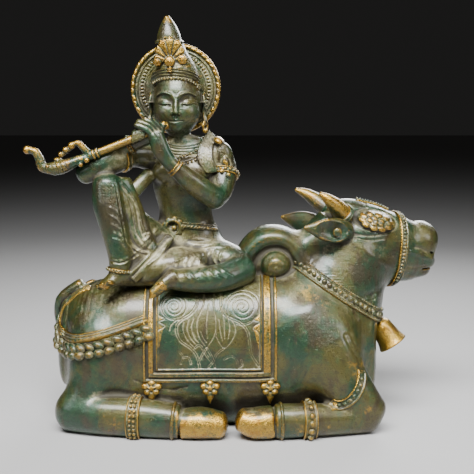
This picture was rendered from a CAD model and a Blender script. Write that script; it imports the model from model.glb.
"""A cast bronze group: a flute player sitting sideways on a lying zebu bull.

The free forms are drawn in millimetres for a statue as tall as the frame's, as tubes of round
sections and egg shapes that are melted together on a grid, carved, and skinned. Harness, beads,
ropes and tassels then follow the skin.
"""

import functools
import math

import bpy
import numpy as np
from mathutils import Euler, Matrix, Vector


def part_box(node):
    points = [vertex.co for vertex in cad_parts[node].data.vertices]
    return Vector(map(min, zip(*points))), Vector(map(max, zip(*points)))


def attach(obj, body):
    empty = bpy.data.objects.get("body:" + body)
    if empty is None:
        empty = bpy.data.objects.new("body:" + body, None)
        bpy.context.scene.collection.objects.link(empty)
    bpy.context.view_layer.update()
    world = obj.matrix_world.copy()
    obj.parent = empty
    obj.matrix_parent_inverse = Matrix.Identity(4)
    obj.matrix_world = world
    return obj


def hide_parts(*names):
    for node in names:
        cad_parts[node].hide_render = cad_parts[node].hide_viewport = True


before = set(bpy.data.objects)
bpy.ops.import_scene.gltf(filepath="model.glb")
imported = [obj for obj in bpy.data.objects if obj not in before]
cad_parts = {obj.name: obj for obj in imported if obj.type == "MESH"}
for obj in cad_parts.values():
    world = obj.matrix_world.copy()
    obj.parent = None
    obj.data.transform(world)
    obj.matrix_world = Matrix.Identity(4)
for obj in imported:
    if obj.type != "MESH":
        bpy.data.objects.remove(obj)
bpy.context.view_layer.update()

bl_info = {
    "name": "Flute Player on a Bull",
    "version": (1, 0, 0),
    "blender": (4, 5, 0),
    "location": "3D View > Sidebar > Bronze",
    "description": "Builds a patinated bronze flute player seated on a lying zebu bull",
    "category": "Object",
}

DRAWN_HEIGHT = 284.6  # height of the drawn forms, in millimetres
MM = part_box("flute_player")[1].z / DRAWN_HEIGHT  # metres in a drawn millimetre
FAR = 20.0  # what the grid holds away from every form, in millimetres
PRESS_REACH = 6.0  # how deep below and above the skin a press moves the field
FLATTENED = np.array((1, 0, 1), np.float32)
GROUND_GAP = 0.05  # how far the lowest places stay above the ground, in drawn millimetres
BEAD_SEED = 3


# Free forms

def unit(vectors):
    return vectors / (np.linalg.norm(vectors, axis=-1, keepdims=True) + 1e-9)


def spline(stations, t):
    """Catmull-Rom through every number of the stations; t runs from 0 to their count less one."""
    p = np.asarray(stations, float)
    last = len(p) - 1
    i = np.minimum(np.asarray(t).astype(int), last - 1)
    f = (t - i)[:, None]
    p0, p1, p2, p3 = (p[np.clip(i + k, 0, last)] for k in (-1, 0, 1, 2))
    return p1 + 0.5 * f * (p2 - p0 + f * (2 * p0 - 5 * p1 + 4 * p2 - p3 + f * (3 * (p1 - p2) + p3 - p0)))


def run_along(path):
    """How far along a path each of its places is."""
    return np.concatenate([[0], np.cumsum(np.linalg.norm(np.diff(path, axis=0), axis=1))])


def smooth_path(points, step):
    """A spline through the points with a place about every step."""
    t = np.linspace(0, len(points) - 1, 40 * len(points))
    dense = spline(points, t)
    run = run_along(dense[:, :3])
    places = np.linspace(0, run[-1], max(3, int(run[-1] / step) + 1))
    return np.stack([np.interp(places, run, dense[:, k]) for k in range(dense.shape[1])], axis=1)


def front_line(points):
    """A smooth line through points (x, z), flat in the plane that faces the front."""
    return smooth_path([(x, 0.0, z) for x, z in points], 0.8)


def turned(degrees):
    """The axes of a form turned about x, y and z."""
    return np.array(Euler([math.radians(a) for a in degrees]).to_matrix())


class Limb:
    """A tube of superellipse sections through stations (x, y, z, half width, half height)."""

    def __init__(self, *stations, up=(0, 0, 1), power=2.0, caps=None, steps=4):
        count = (len(stations) - 1) * steps + 1
        rows = spline(stations, np.linspace(0, len(stations) - 1, count))
        self.centre, self.half, self.power, self.steps = rows[:, :3], rows[:, 3:5], power, steps
        self.along = unit(np.gradient(self.centre, axis=0))
        up = np.array(up, float) - self.along * (self.along @ np.array(up, float))[:, None]
        self.up = unit(up)
        self.side = np.cross(self.up, self.along)
        self.caps = caps or (stations[0][4], stations[-1][4])
        reach = self.half.max()
        self.low = self.centre.min(0) - reach - max(self.caps)
        self.high = self.centre.max(0) + reach + max(self.caps)

    def at(self, t):
        """The centre, the heading and the up direction at a station."""
        rows = np.arange(len(self.centre)) / self.steps
        return [np.array([np.interp(t, rows, vectors[:, k]) for k in range(3)])
                for vectors in (self.centre, self.along, self.up)]

    def distance(self, points):
        nearest = np.full(len(points), np.inf, np.float32)
        place = np.zeros(len(points), np.float32)
        for m in range(len(self.centre) - 1):
            start = self.centre[m].astype(np.float32)
            run = (self.centre[m + 1] - self.centre[m]).astype(np.float32)
            gap = points - start
            t = np.clip(gap @ run / (run @ run), 0, 1)
            gap -= t[:, None] * run
            size = np.einsum("ij,ij->i", gap, gap)
            closer = size < nearest
            nearest[closer] = size[closer]
            place[closer] = m + t[closer]
        m = np.minimum(place.astype(int), len(self.centre) - 2)
        t = (place - m)[:, None]
        table = np.hstack([self.centre, self.side, self.up, self.along, self.half]).astype(np.float32)
        rows = table[m]
        rows += (table[m + 1] - rows) * t
        gap, half = points - rows[:, :3], rows[:, 12:]
        u = np.abs(np.einsum("ij,ij->i", gap, rows[:, 3:6])) / half[:, 0]
        v = np.abs(np.einsum("ij,ij->i", gap, rows[:, 6:9])) / half[:, 1]
        w = np.einsum("ij,ij->i", gap, rows[:, 9:12])
        cap = np.where(w < 0, self.caps[0], self.caps[1])
        w = np.where((place <= 0) | (place >= len(self.centre) - 1), np.abs(w) / cap, 0)
        n = self.power
        ring = (u ** n + v ** n + 1e-6) ** (1 / n)
        f = np.sqrt(ring ** 2 + w ** 2)
        slope = ring ** (1 - n) * np.sqrt((u ** (n - 1) / half[:, 0]) ** 2 + (v ** (n - 1) / half[:, 1]) ** 2)
        slope = np.sqrt((ring * slope) ** 2 + (w / cap) ** 2) / f
        return np.clip((f - 1) / (slope + 1e-4), -FAR, FAR)


class Egg:
    """An ellipsoid, turned by degrees about x, y and z."""

    def __init__(self, place, half, turn=(0, 0, 0)):
        self.place = np.array(place, float)
        self.half = np.ones(3) * half
        self.axes = turned(turn)
        reach = np.abs(self.axes) @ self.half
        self.low, self.high = self.place - reach, self.place + reach

    def distance(self, points):
        q = ((points - self.place) @ self.axes).astype(np.float32) / self.half
        f = np.linalg.norm(q, axis=1) + 1e-5
        return np.clip(f * (f - 1) / (np.linalg.norm(q / self.half, axis=1) + 1e-5), -FAR, FAR)


class Hoop:
    """A ring of round section about an axis, which may be oval."""

    def __init__(self, place, radii, thickness, turn=(0, 0, 0)):
        self.place, self.radii, self.thickness = np.array(place, float), np.ones(2) * radii, thickness
        self.axes = turned(turn)
        reach = self.radii.max() + thickness
        self.low, self.high = self.place - reach, self.place + reach

    def distance(self, points):
        q = (points - self.place) @ self.axes
        flat = np.linalg.norm(q[:, :2] / self.radii, axis=1)
        return np.hypot((flat - 1) * self.radii.mean(), q[:, 2]) - self.thickness


def mirrored(stations):
    return [(s[0], -s[1], *s[2:]) for s in stations]


class Clay:
    """A distance field on a grid, built up by adding and carving forms, in millimetres."""

    def __init__(self, low, high, cell):
        self.low, self.cell = np.array(low, float), cell
        self.field = np.full(np.ceil((np.array(high) - low) / cell).astype(int) + 1, FAR, np.float32)

    def window(self, low, high):
        first = np.clip(np.floor((low - self.low) / self.cell).astype(int), 0, np.array(self.field.shape) - 1)
        last = np.clip(np.ceil((high - self.low) / self.cell).astype(int) + 1, first + 1, self.field.shape)
        axes = [(self.low[k] + self.cell * np.arange(first[k], last[k])).astype(np.float32) for k in range(3)]
        points = np.stack(np.meshgrid(*axes, indexing="ij"), -1)
        return tuple(slice(a, b) for a, b in zip(first, last)), points

    def add(self, *forms, blend=2.0):
        for form in forms:
            box, new, old, melt = self.pair(form, blend, 1)
            self.field[box] = np.minimum(new, old) - melt
        return self

    def cut(self, *forms, blend=1.0):
        for form in forms:
            box, new, old, melt = self.pair(form, blend, -1)
            self.field[box] = np.maximum(new, old) + melt
        return self

    def pair(self, form, blend, sign):
        """The form's distances, worked out finely near its skin, the field's, and how much they melt."""
        box, points = self.window(form.low - blend - 2, form.high + blend + 2)
        coarse = points[::3, ::3, ::3]
        new = form.distance(coarse.reshape(-1, 3)).reshape(coarse.shape[:3])
        for axis in range(3):
            new = new.repeat(3, axis)
        new = new[:points.shape[0], :points.shape[1], :points.shape[2]]
        near = np.abs(new) < blend + 5 * self.cell
        new[near] = form.distance(points[near])
        new, old = sign * new, self.field[box]
        return box, new, old, np.maximum(blend - np.abs(new - old), 0) ** 2 / blend / 4

    def press(self, low, high, height, facing=False):
        """Raises the skin in a box by a height at each place; facing keeps to what faces the front."""
        box, points = self.window(np.array(low, float), np.array(high, float))
        near = np.abs(self.field[box]) < PRESS_REACH
        share = 1
        if facing:
            slope = np.abs(np.gradient(self.field[box], self.cell, axis=1)[near])
            share = np.clip(2.2 * slope - 0.8, 0, 1)
        self.field[box][near] -= (height(points[near]) * share).astype(np.float32)
        return self

    def engrave(self, strokes, front=100.0):
        """Carves strokes (half width, depth, points (x, z)) from the front; below 0 they stand out."""
        for width, depth, points in strokes:
            line = front_line(points).astype(np.float32)
            low, high = line.min(0) - 3 * width - 1, line.max(0) + 3 * width + 1
            low[1], high[1] = self.low[1], front
            self.press(low, high, lambda places: -depth * stroke_mark(places * FLATTENED, line, width), True)
        return self

    def sample(self, points):
        q = np.clip((points - self.low) / self.cell, 0, np.array(self.field.shape) - 1.001)
        i = q.astype(int)
        f = q - i
        total = 0
        for dx in (0, 1):
            for dy in (0, 1):
                for dz in (0, 1):
                    share = (np.abs(1 - dx - f[:, 0]) * np.abs(1 - dy - f[:, 1]) * np.abs(1 - dz - f[:, 2]))
                    total = total + share * self.field[i[:, 0] + dx, i[:, 1] + dy, i[:, 2] + dz]
        return total

    def normal(self, points, reach=1.5):
        steps = np.eye(3) * reach
        return unit(np.stack([self.sample(points + s) - self.sample(points - s) for s in steps], -1))

    def land(self, points, inward, travel=60.0):
        """Moves each place along its own direction until it meets the skin."""
        points, moved, active = points.copy(), np.zeros(len(points)), np.arange(len(points))
        for _ in range(90):
            gap = self.sample(points[active])
            step = np.clip(gap * 0.8, -0.5, 3.0)
            points[active] += inward[active] * step[:, None]
            moved[active] += step
            active = active[(np.abs(gap) > 0.02) & (moved[active] < travel)]
            if not len(active):
                break
        return points

    def skin(self):
        """Surface nets: one vertex in each cell that the surface crosses, and its faces."""
        field = self.field
        inside = field < 0
        shape = np.array(field.shape) - 1
        corner = lambda a, dx, dy, dz: a[dx:dx + shape[0], dy:dy + shape[1], dz:dz + shape[2]]
        count = sum(corner(inside, *map(int, f"{n:03b}")).astype(np.int8) for n in range(8))
        cells = np.argwhere((count > 0) & (count < 8))
        number = np.full(shape, -1, np.int64)
        number[tuple(cells.T)] = np.arange(len(cells))
        total, hits = np.zeros((len(cells), 3)), np.zeros(len(cells))
        for axis in range(3):
            for a in (0, 1):
                for b in (0, 1):
                    start = np.insert([a, b], axis, 0)
                    end = np.insert([a, b], axis, 1)
                    d0, d1 = (field[tuple((cells + c).T)] for c in (start, end))
                    crossed = (d0 < 0) != (d1 < 0)
                    t = np.where(crossed, d0 / np.where(crossed, d0 - d1, 1), 0)
                    total += crossed[:, None] * (start + t[:, None] * (end - start))
                    hits += crossed
        places = self.low + (cells + total / hits[:, None]) * self.cell
        faces = []
        for axis in range(3):
            b, c = [(1, 2), (2, 0), (0, 1)][axis]
            ahead = np.roll(inside, -1, axis)
            edge = inside != ahead
            index = np.argwhere(edge)
            keep = (index[:, axis] < shape[axis]) & (index[:, b] > 0) & (index[:, c] > 0)
            keep &= (index[:, b] < shape[b]) & (index[:, c] < shape[c])
            index = index[keep]
            quad = []
            for db, dc in ((1, 1), (0, 1), (0, 0), (1, 0)):
                at = index.copy()
                at[:, b] -= db
                at[:, c] -= dc
                quad.append(number[tuple(at.T)])
            quad = np.stack(quad, 1)
            outward = inside[tuple(index.T)]
            quad[~outward] = quad[~outward][:, ::-1]
            faces.append(quad)
        return places, np.concatenate(faces)


def line_distance(points, line):
    """The distance from each point to a line of short pieces."""
    best = np.full(len(points), np.inf, np.float32)
    for a, b in zip(line[:-1].astype(np.float32), line[1:].astype(np.float32)):
        run = b - a
        gap = points - a
        t = np.clip(gap @ run / (run @ run + 1e-9), 0, 1)
        gap = gap - t[:, None] * run
        best = np.minimum(best, np.einsum("ij,ij->i", gap, gap))
    return np.sqrt(best)


def stroke_mark(places, line, width):
    """1 on a line, fading out over a width beside it."""
    return np.exp(-(line_distance(places, line) / width) ** 2)


# Meshes

def neighbour_mean(places, edges, rounds):
    count = np.bincount(edges.ravel(), minlength=len(places)) + 1e-9
    for _ in range(rounds):
        total = np.zeros_like(places)
        for k in range(3):
            total[:, k] = (np.bincount(edges[:, 0], places[edges[:, 1], k], len(places)) +
                           np.bincount(edges[:, 1], places[edges[:, 0], k], len(places)))
        places = total / count[:, None]
    return places


def grid_faces(rows, columns, closed_rows=False, closed_columns=False):
    i = np.arange(rows if closed_rows else rows - 1)
    j = np.arange(columns if closed_columns else columns - 1)
    i, j = np.meshgrid(i, j, indexing="ij")
    i1, j1 = (i + 1) % rows, (j + 1) % columns
    return np.stack([i * columns + j, i * columns + j1, i1 * columns + j1, i1 * columns + j],
                    -1).reshape(-1, 4)


def outward(places, faces):
    """The faces, turned over if they enclose a negative volume."""
    faces = np.asarray(faces)
    a, b, c, d = (places[faces[:, k]] - places.mean(0) for k in range(4))
    volume = np.einsum("ij,ij->", a, np.cross(b, c) + np.cross(c, d))
    return faces[:, ::-1] if volume < 0 else faces


def joined(parts):
    """One list of places and faces from several closed shapes."""
    shifts = np.cumsum([0] + [len(p) for p, _ in parts])
    return (np.concatenate([p for p, _ in parts]),
            np.concatenate([outward(p, f) + shift for (p, f), shift in zip(parts, shifts)]))


def used_only(places, faces):
    used, faces = np.unique(faces, return_inverse=True)
    return places[used], faces.reshape(-1, 4)


def put_attribute(mesh, name, values):
    values = np.broadcast_to(np.asarray(values, np.float32), len(mesh.vertices))
    mesh.attributes.new(name, "FLOAT", "POINT").data.foreach_set("value", np.ascontiguousarray(values))


def shut_in(clay, places, normals):
    """How much the skin around, or the ground, shuts each place in: 0 in the open, 1 deep in a fold."""
    shut = sum(np.clip(0.85 - clay.sample(places + normals * reach) / reach, 0, 1)
               for reach in (8.0, 17.0)) / 1.7
    return np.maximum(shut, 0.7 * np.clip(1 - places[:, 2] / 6, 0, 1))


def shaped(name, places, faces, material, gilt=0.0, dust=0.0, crest=0.0, clay=None):
    """A smooth mesh in metres; its points keep how far they stand out or sink in, finely and broadly."""
    mesh = bpy.data.meshes.new(name)
    mesh.from_pydata((places * MM).tolist(), [], np.asarray(faces).tolist())
    mesh.polygons.foreach_set("use_smooth", np.ones(len(mesh.polygons), bool))
    mesh.materials.append(material)
    normals = np.zeros(len(places) * 3, np.float32)
    mesh.vertices.foreach_get("normal", normals)
    normals = normals.reshape(-1, 3)
    edges = np.zeros(len(mesh.edges) * 2, np.int32)
    mesh.edges.foreach_get("vertices", edges)
    edges = edges.reshape(-1, 2)
    length = np.linalg.norm(places[edges[:, 0]] - places[edges[:, 1]], axis=1).mean()
    fine = neighbour_mean(places, edges, max(2, int((1.2 / length) ** 2)))
    broad = neighbour_mean(fine, edges, min(70, max(6, int((4.0 / length) ** 2))))
    raised = np.einsum("ij,ij->i", places - fine, normals)
    put_attribute(mesh, "fine", raised)
    shut = 1.1 * shut_in(clay, places, normals) + 0.45 * np.clip(-normals[:, 2], 0, 1) if clay else 0
    put_attribute(mesh, "broad", np.einsum("ij,ij->i", fine - broad, normals) - shut)
    put_attribute(mesh, "gilt", gilt)
    put_attribute(mesh, "dust", dust + 0.40 * normals[:, 2] - 0.15 + crest * np.clip(raised, 0, 0.4))
    return mesh


def keep(made, node, material):
    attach(made, "root")
    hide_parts(node)
    return made


def piece(name, node, places, faces, material, **looks):
    """A shown piece that stands for a node, with nothing of it under the ground."""
    places = np.stack([places[:, 0], places[:, 1], np.maximum(places[:, 2], GROUND_GAP)], 1)
    made = bpy.data.objects.new(name, shaped(name, places, faces, material, **looks))
    bpy.context.scene.collection.objects.link(made)
    return keep(made, node, material)


def shaken(places):
    """The places moved by a few waves, which gives ragged edges to what is measured from them."""
    return places + sum(1.1 / k ** 0.8 * np.sin(places[:, [1, 2, 0]] * k + places[:, [2, 0, 1]] * k * 0.7 + k)
                        for k in (0.4, 0.9, 2.0))


def spots_near(places, spots):
    """1 at the spots (x, y, z, radius), fading out around them."""
    total, places = np.zeros(len(places)), shaken(places)
    for x, y, z, radius in spots:
        gap = np.linalg.norm(places - (x, y, z), axis=1)
        total = np.maximum(total, np.exp(-(gap / radius) ** 2))
    return total


# Paths on the skin, and bands along them

def even_path(path, step, closed=False):
    """The same path with places an equal step apart."""
    loop = np.concatenate([path, path[:1]]) if closed else path
    run = run_along(loop)
    at = np.linspace(0, run[-1], max(4, int(run[-1] / step)) + 1)
    even = np.stack([np.interp(at, run, loop[:, k]) for k in range(3)], 1)
    return even[:-1] if closed else even


def runs_of(path, closed=False):
    return unit(np.roll(path, -1, 0) - np.roll(path, 1, 0)) if closed else unit(np.gradient(path, axis=0))


def settled(clay, spots, rounds, step):
    """An open path on the skin, smoothed a few times, with equal steps, and its normals."""
    for _ in range(rounds):
        spots[1:-1] = (spots[:-2] + 2 * spots[1:-1] + spots[2:]) / 4
    spots = even_path(spots, step)
    return spots, clay.normal(spots)


def skin_path(clay, heart, points):
    """A path laid on the skin: every place moves along its ray towards the heart's line."""
    line = smooth_path(points, 0.8)
    out = unit((line - np.array(heart, float)) * (0.15, 1, 1))
    return settled(clay, clay.land(line + out * 12, -out), 3, 0.8)


def facing_path(clay, flat, step=0.6, side=-1):
    """A path on one side of the skin, seen from the front or behind, through points (x, z)."""
    line = smooth_path([(x, side * 80.0, z) for x, z in flat], step)
    spots = clay.land(line, np.tile((0.0, -side, 0.0), (len(line), 1)), 110)
    return settled(clay, spots, 6, step)


def ring(clay, centre, axis, reach, step=0.8):
    """A closed path round the skin, in the plane through the centre and across the axis."""
    axis = unit(np.array(axis, float))
    one = unit(np.cross(axis, (0.01, 0.94, 0.33)))
    two = np.cross(axis, one)
    angle = np.linspace(0, 2 * np.pi, 120, endpoint=False)[:, None]
    out = np.cos(angle) * one + np.sin(angle) * two
    spots = clay.land(np.array(centre) + out * reach, -out)
    for _ in range(3):
        spots = (np.roll(spots, 1, 0) + 2 * spots + np.roll(spots, -1, 0)) / 4
    spots = even_path(spots, step, True)
    return spots, clay.normal(spots)


def lone(form, cell=0.8):
    """A form's own skin, with nothing else on the grid."""
    return Clay(form.low - 4, form.high + 4, cell).add(form)


def limb_ring(clay, shape, t, reach, lean=0.0):
    """A ring round a limb at a station, leaning towards its up direction."""
    centre, along, up = shape.at(t)
    return ring(clay, centre, along + up * lean, reach)


def ribs(width, *places, base=0.35):
    """Heights across a band: half-round ribs (place, half width, height) on a flat base."""
    offsets = np.linspace(-width / 2, width / 2, int(width / 0.36) + 2)
    heights = np.full(len(offsets), base)
    for place, half, height in places:
        heights = np.maximum(heights, height * np.sqrt(np.clip(1 - ((offsets - place) / half) ** 2, 0, 1)))
    return offsets, heights


def rimmed(width, half, rise, base, inset=0.6):
    """Heights across a flat band with a rib near each edge."""
    edge = width / 2 - inset
    return ribs(width, (-edge, half, rise), (edge, half, rise), base=base)


def band(clay, path, normals, section, closed=False, fade=2.5):
    """A band that hugs the skin along a path, with its edges and its ends sunk into the skin."""
    side = unit(np.cross(normals, runs_of(path, closed)))
    rise = np.ones(len(path))
    if not closed:
        run = run_along(path)
        rise = np.clip(np.minimum(run, run[-1] - run) / fade, 0, 1) ** 0.5
    rows = []
    for offset, height in zip(*section):
        spot = clay.land(path + side * offset + normals * 2.5, -normals, 9)
        rows.append(spot + normals * (height * rise - (1 - rise) * 0.6)[:, None])
    rows = [rows[0] - normals * 1.1, *rows, rows[-1] - normals * 1.1]
    places = np.stack(rows, 1).reshape(-1, 3)
    return places, outward(places, grid_faces(len(path), len(rows), closed, True))


def beside(clay, path, normals, offset, closed=False):
    """The path moved sideways over the skin."""
    side = unit(np.cross(normals, runs_of(path, closed)))
    spots = clay.land(path + side * offset + normals * 3, -normals, 12)
    return spots, clay.normal(spots)


def spaced(path, normals, gap, closed=False, rise=0.0):
    """Places a gap apart along a path, with their normals and their runs."""
    runs = runs_of(path, closed)
    if closed:
        path, normals, runs = (np.concatenate([rows, rows[:1]]) for rows in (path, normals, runs))
    run = run_along(path)
    count = max(1, round(run[-1] / gap))
    at = (np.arange(count) + 0.5) * run[-1] / count
    pick = lambda rows: np.stack([np.interp(at, run, rows[:, k]) for k in range(3)], 1)
    out = unit(pick(normals))
    return pick(path) + out * rise, out, unit(pick(runs))


# Shader and geometry nodes, written as expressions

class Value:
    """A node socket that takes part in Python expressions."""

    def __init__(self, tree, socket):
        self.tree, self.socket = tree, socket

    def __add__(self, other):
        return self.tree.math("ADD", self, other)

    def __sub__(self, other):
        return self.tree.math("SUBTRACT", self, other)

    def __rsub__(self, other):
        return self.tree.math("SUBTRACT", other, self)

    def __mul__(self, other):
        return self.tree.math("MULTIPLY", self, other)

    __radd__, __rmul__ = __add__, __mul__

    def between(self, low, high):
        """0 below low, 1 above high, smooth in between."""
        return self.tree.node("ShaderNodeMapRange", {"interpolation_type": "SMOOTHSTEP"},
                              {"Value": self, "From Min": low, "From Max": high})["Result"]


class Outputs:
    """The outputs of a node, as values."""

    def __init__(self, tree, node):
        self.tree, self.made = tree, node

    def __getitem__(self, name):
        return Value(self.tree, self.made.outputs[name])


class Tree:
    """Nodes of one material or node group."""

    def __init__(self, nodes):
        self.nodes = nodes

    def node(self, kind, settings=None, values=None):
        made = self.nodes.nodes.new(kind)
        for name, value in (settings or {}).items():
            setattr(made, name, value)
        for name, value in (values or {}).items():
            if isinstance(value, Value):
                self.nodes.links.new(value.socket, made.inputs[name])
            else:
                made.inputs[name].default_value = value
        return Outputs(self, made)

    def math(self, operation, *values):
        return self.node("ShaderNodeMath", {"operation": operation}, dict(enumerate(values)))[0]

    def mix(self, share, one, two):
        return self.node("ShaderNodeMix", {"data_type": "RGBA"}, {0: share, 6: one, 7: two})[2]


def bronze(name, colours, brass_share, gloss):
    """Waxed bronze: patina in patches, dust in the carving, grime deeper in, brass where it is rubbed."""
    material = bpy.data.materials.new(name)
    material.use_nodes = True
    material.node_tree.nodes.clear()
    t = Tree(material.node_tree)
    place = t.node("ShaderNodeTexCoord")["Object"]

    def noise(scale, detail, rough, distortion=0.0, stretch=None):
        vector = place
        if stretch:
            vector = t.node("ShaderNodeMapping", {}, {"Vector": place, "Scale": stretch})["Vector"]
        return t.node("ShaderNodeTexNoise", {}, {
            "Vector": vector, "Scale": scale, "Detail": detail, "Roughness": rough,
            "Distortion": distortion})["Fac"]

    fine, broad, gilt, dust = (t.node("ShaderNodeAttribute", {"attribute_name": key})["Fac"]
                               for key in ("fine", "broad", "gilt", "dust"))
    patches = noise(24, 6, 0.65, 0.9)
    clouds = noise(46, 9, 0.78, 0.5)
    mottle = noise(130, 8, 0.78, 0.4)
    runs = noise(60, 5, 0.65, 0.3, (1.0, 1.0, 0.5))
    grain = noise(400, 5, 0.75)
    specks = noise(780, 4, 0.7)
    scratches = noise(60, 6, 0.75, 0.0, (0.3, 1.0, 9.0))
    green = t.mix(patches.between(0.42, 0.57), colours["green"], colours["olive"])
    green = t.mix(mottle.between(0.48, 0.64) * 0.5, green, colours["teal"])
    green = t.mix(runs.between(0.48, 0.62) * 0.75, green, colours["umber"])
    green = t.mix(grain.between(0.50, 0.68) * 0.7, green, colours["grime"])
    speckle = (mottle - 0.5) * 1.1 + (grain - 0.5) * 1.3 + (specks - 0.5) * 1.1
    dusty = (dust + (clouds - 0.5) * 1.9 + speckle - fine * 2.6 - broad * 0.4).between(0.05, 1.15)
    deep = ((runs - 0.5) * 0.7 + (grain - 0.5) * 0.8 - broad * 0.85 - fine * 2.3).between(0.36, 1.0)
    rubbed = fine * 1.35 + broad * 0.3 + gilt * 1.05 + (clouds - 0.5) * 1.3 + speckle * 0.9
    rubbed = (rubbed + brass_share).between(0.42, 0.95)
    colour = t.mix(dusty * 0.85, green, colours["dust"])
    colour = t.mix(deep * 0.9, colour, colours["grime"])
    brass = t.mix(mottle.between(0.46, 0.62), colours["brass"], colours["ochre"])
    brass = t.mix(dusty * 0.06, brass, colours["dust"])
    brass = t.mix((0 - fine * 4 - broad * 0.8 + speckle * 1.5).between(0.1, 0.75) * 0.9, brass,
                  colours["grime"])
    colour = t.mix(rubbed, colour, brass)
    colour = t.mix(specks.between(0.57, 0.70) * 0.65, colour, colours["grime"])
    rough = gloss + mottle * 0.14 + dusty * 0.15 + deep * 0.2 + (grain - 0.5) * 0.4 - rubbed * 0.04
    height = grain * 0.7 + mottle * 0.8 + specks * 0.3 + scratches * 0.35
    bump = t.node("ShaderNodeBump", {}, {"Strength": 0.8, "Distance": 0.0008, "Height": height})["Normal"]
    shader = t.node("ShaderNodeBsdfPrincipled", {}, {
        "Base Color": colour, "Roughness": rough, "Metallic": 0.45 + rubbed * 0.5 - dusty * 0.35,
        "Coat Weight": 0.6 - dusty * 0.3 - deep * 0.3, "Coat Roughness": 0.19, "Normal": bump})["BSDF"]
    t.node("ShaderNodeOutputMaterial", {}, {"Surface": shader})
    return material


# Repeats along a path

def repeater():
    """Geometry Nodes: sets a template on every point, turned to the point's outward and run vectors."""
    found = bpy.data.node_groups.get("Set on points")
    if found:
        return found
    tree = bpy.data.node_groups.new("Set on points", "GeometryNodeTree")
    face = tree.interface
    for name, kind, start in (("Geometry", "Geometry", None), ("Template", "Object", None),
                              ("Material", "Material", None), ("Size", "Float", 1.0),
                              ("Unevenness", "Float", 0.08), ("Seed", "Int", 7)):
        socket = face.new_socket(name, in_out="INPUT", socket_type=f"NodeSocket{kind}")
        if start is not None:
            socket.default_value = start
    face.new_socket("Geometry", in_out="OUTPUT", socket_type="NodeSocketGeometry")
    t = Tree(tree)
    given = t.node("NodeGroupInput")
    named = "GeometryNodeInputNamedAttribute"
    out, run = (t.node(named, {"data_type": "FLOAT_VECTOR"}, {"Name": name})["Attribute"]
                for name in ("out", "run"))
    turn = t.node("FunctionNodeAxesToRotation", {"primary_axis": "Z", "secondary_axis": "X"},
                  {"Primary Axis": out, "Secondary Axis": run})["Rotation"]
    template = t.node("GeometryNodeObjectInfo", {}, {"Object": given["Template"]})["Geometry"]
    uneven = t.node("FunctionNodeRandomValue", {"data_type": "FLOAT"},
                    {2: 1 - given["Unevenness"], 3: 1 + given["Unevenness"], "Seed": given["Seed"]})[1]
    points = t.node("GeometryNodeMeshToPoints", {}, {"Mesh": given["Geometry"]})["Points"]
    size = given["Size"] * uneven
    scale = t.node("ShaderNodeCombineXYZ", {}, {0: size, 1: size, 2: size})["Vector"]
    placed = t.node("GeometryNodeInstanceOnPoints", {}, {
        "Points": points, "Instance": template, "Rotation": turn, "Scale": scale})["Instances"]
    real = t.node("GeometryNodeRealizeInstances", {}, {"Geometry": placed})["Geometry"]
    painted = t.node("GeometryNodeSetMaterial", {}, {"Geometry": real, "Material": given["Material"]})
    t.node("NodeGroupOutput", {}, {"Geometry": painted["Geometry"]})
    return tree


def ball(half, rows=6, around=10, taper=0.0, lean=0.0):
    """A bead or a drop as a mesh: half sizes along the path, across it and outwards, sunk in a little."""
    angles = np.linspace(0, np.pi, rows + 1)[1:-1]
    turn = np.linspace(0, 2 * np.pi, around, endpoint=False)
    rings = [np.stack([np.sin(a) * np.cos(turn), np.sin(a) * np.sin(turn), np.full(around, np.cos(a))], 1)
             for a in angles]
    places = np.concatenate(rings + [[[0, 0, 1.0], [0, 0, -1.0]]])
    out = places[:, 2].copy()
    places = places * half
    places[:, 0] *= 1 + taper * places[:, 1] / half[1]
    places[:, 0], places[:, 1] = (places[:, 0] * math.cos(lean) - places[:, 1] * math.sin(lean),
                                  places[:, 0] * math.sin(lean) + places[:, 1] * math.cos(lean))
    places[:, 2] += half[2] * 0.25
    faces = [tuple(q) for q in grid_faces(len(rings), around, closed_columns=True)[:, ::-1]]
    last = (len(rings) - 1) * around
    faces += [(len(places) - 2, j, (j + 1) % around) for j in range(around)]
    faces += [(len(places) - 1, last + (j + 1) % around, last + j) for j in range(around)]
    mesh = bpy.data.meshes.new("ball")
    mesh.from_pydata((places * MM).tolist(), [], faces)
    mesh.polygons.foreach_set("use_smooth", np.ones(len(mesh.polygons), bool))
    put_attribute(mesh, "fine", out * 0.15 - 0.02)
    put_attribute(mesh, "broad", out * 0.6 - 0.5)
    put_attribute(mesh, "gilt", 0.05 + 0.35 * out)
    put_attribute(mesh, "dust", 0.45 - 0.2 * out)
    return mesh


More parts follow.
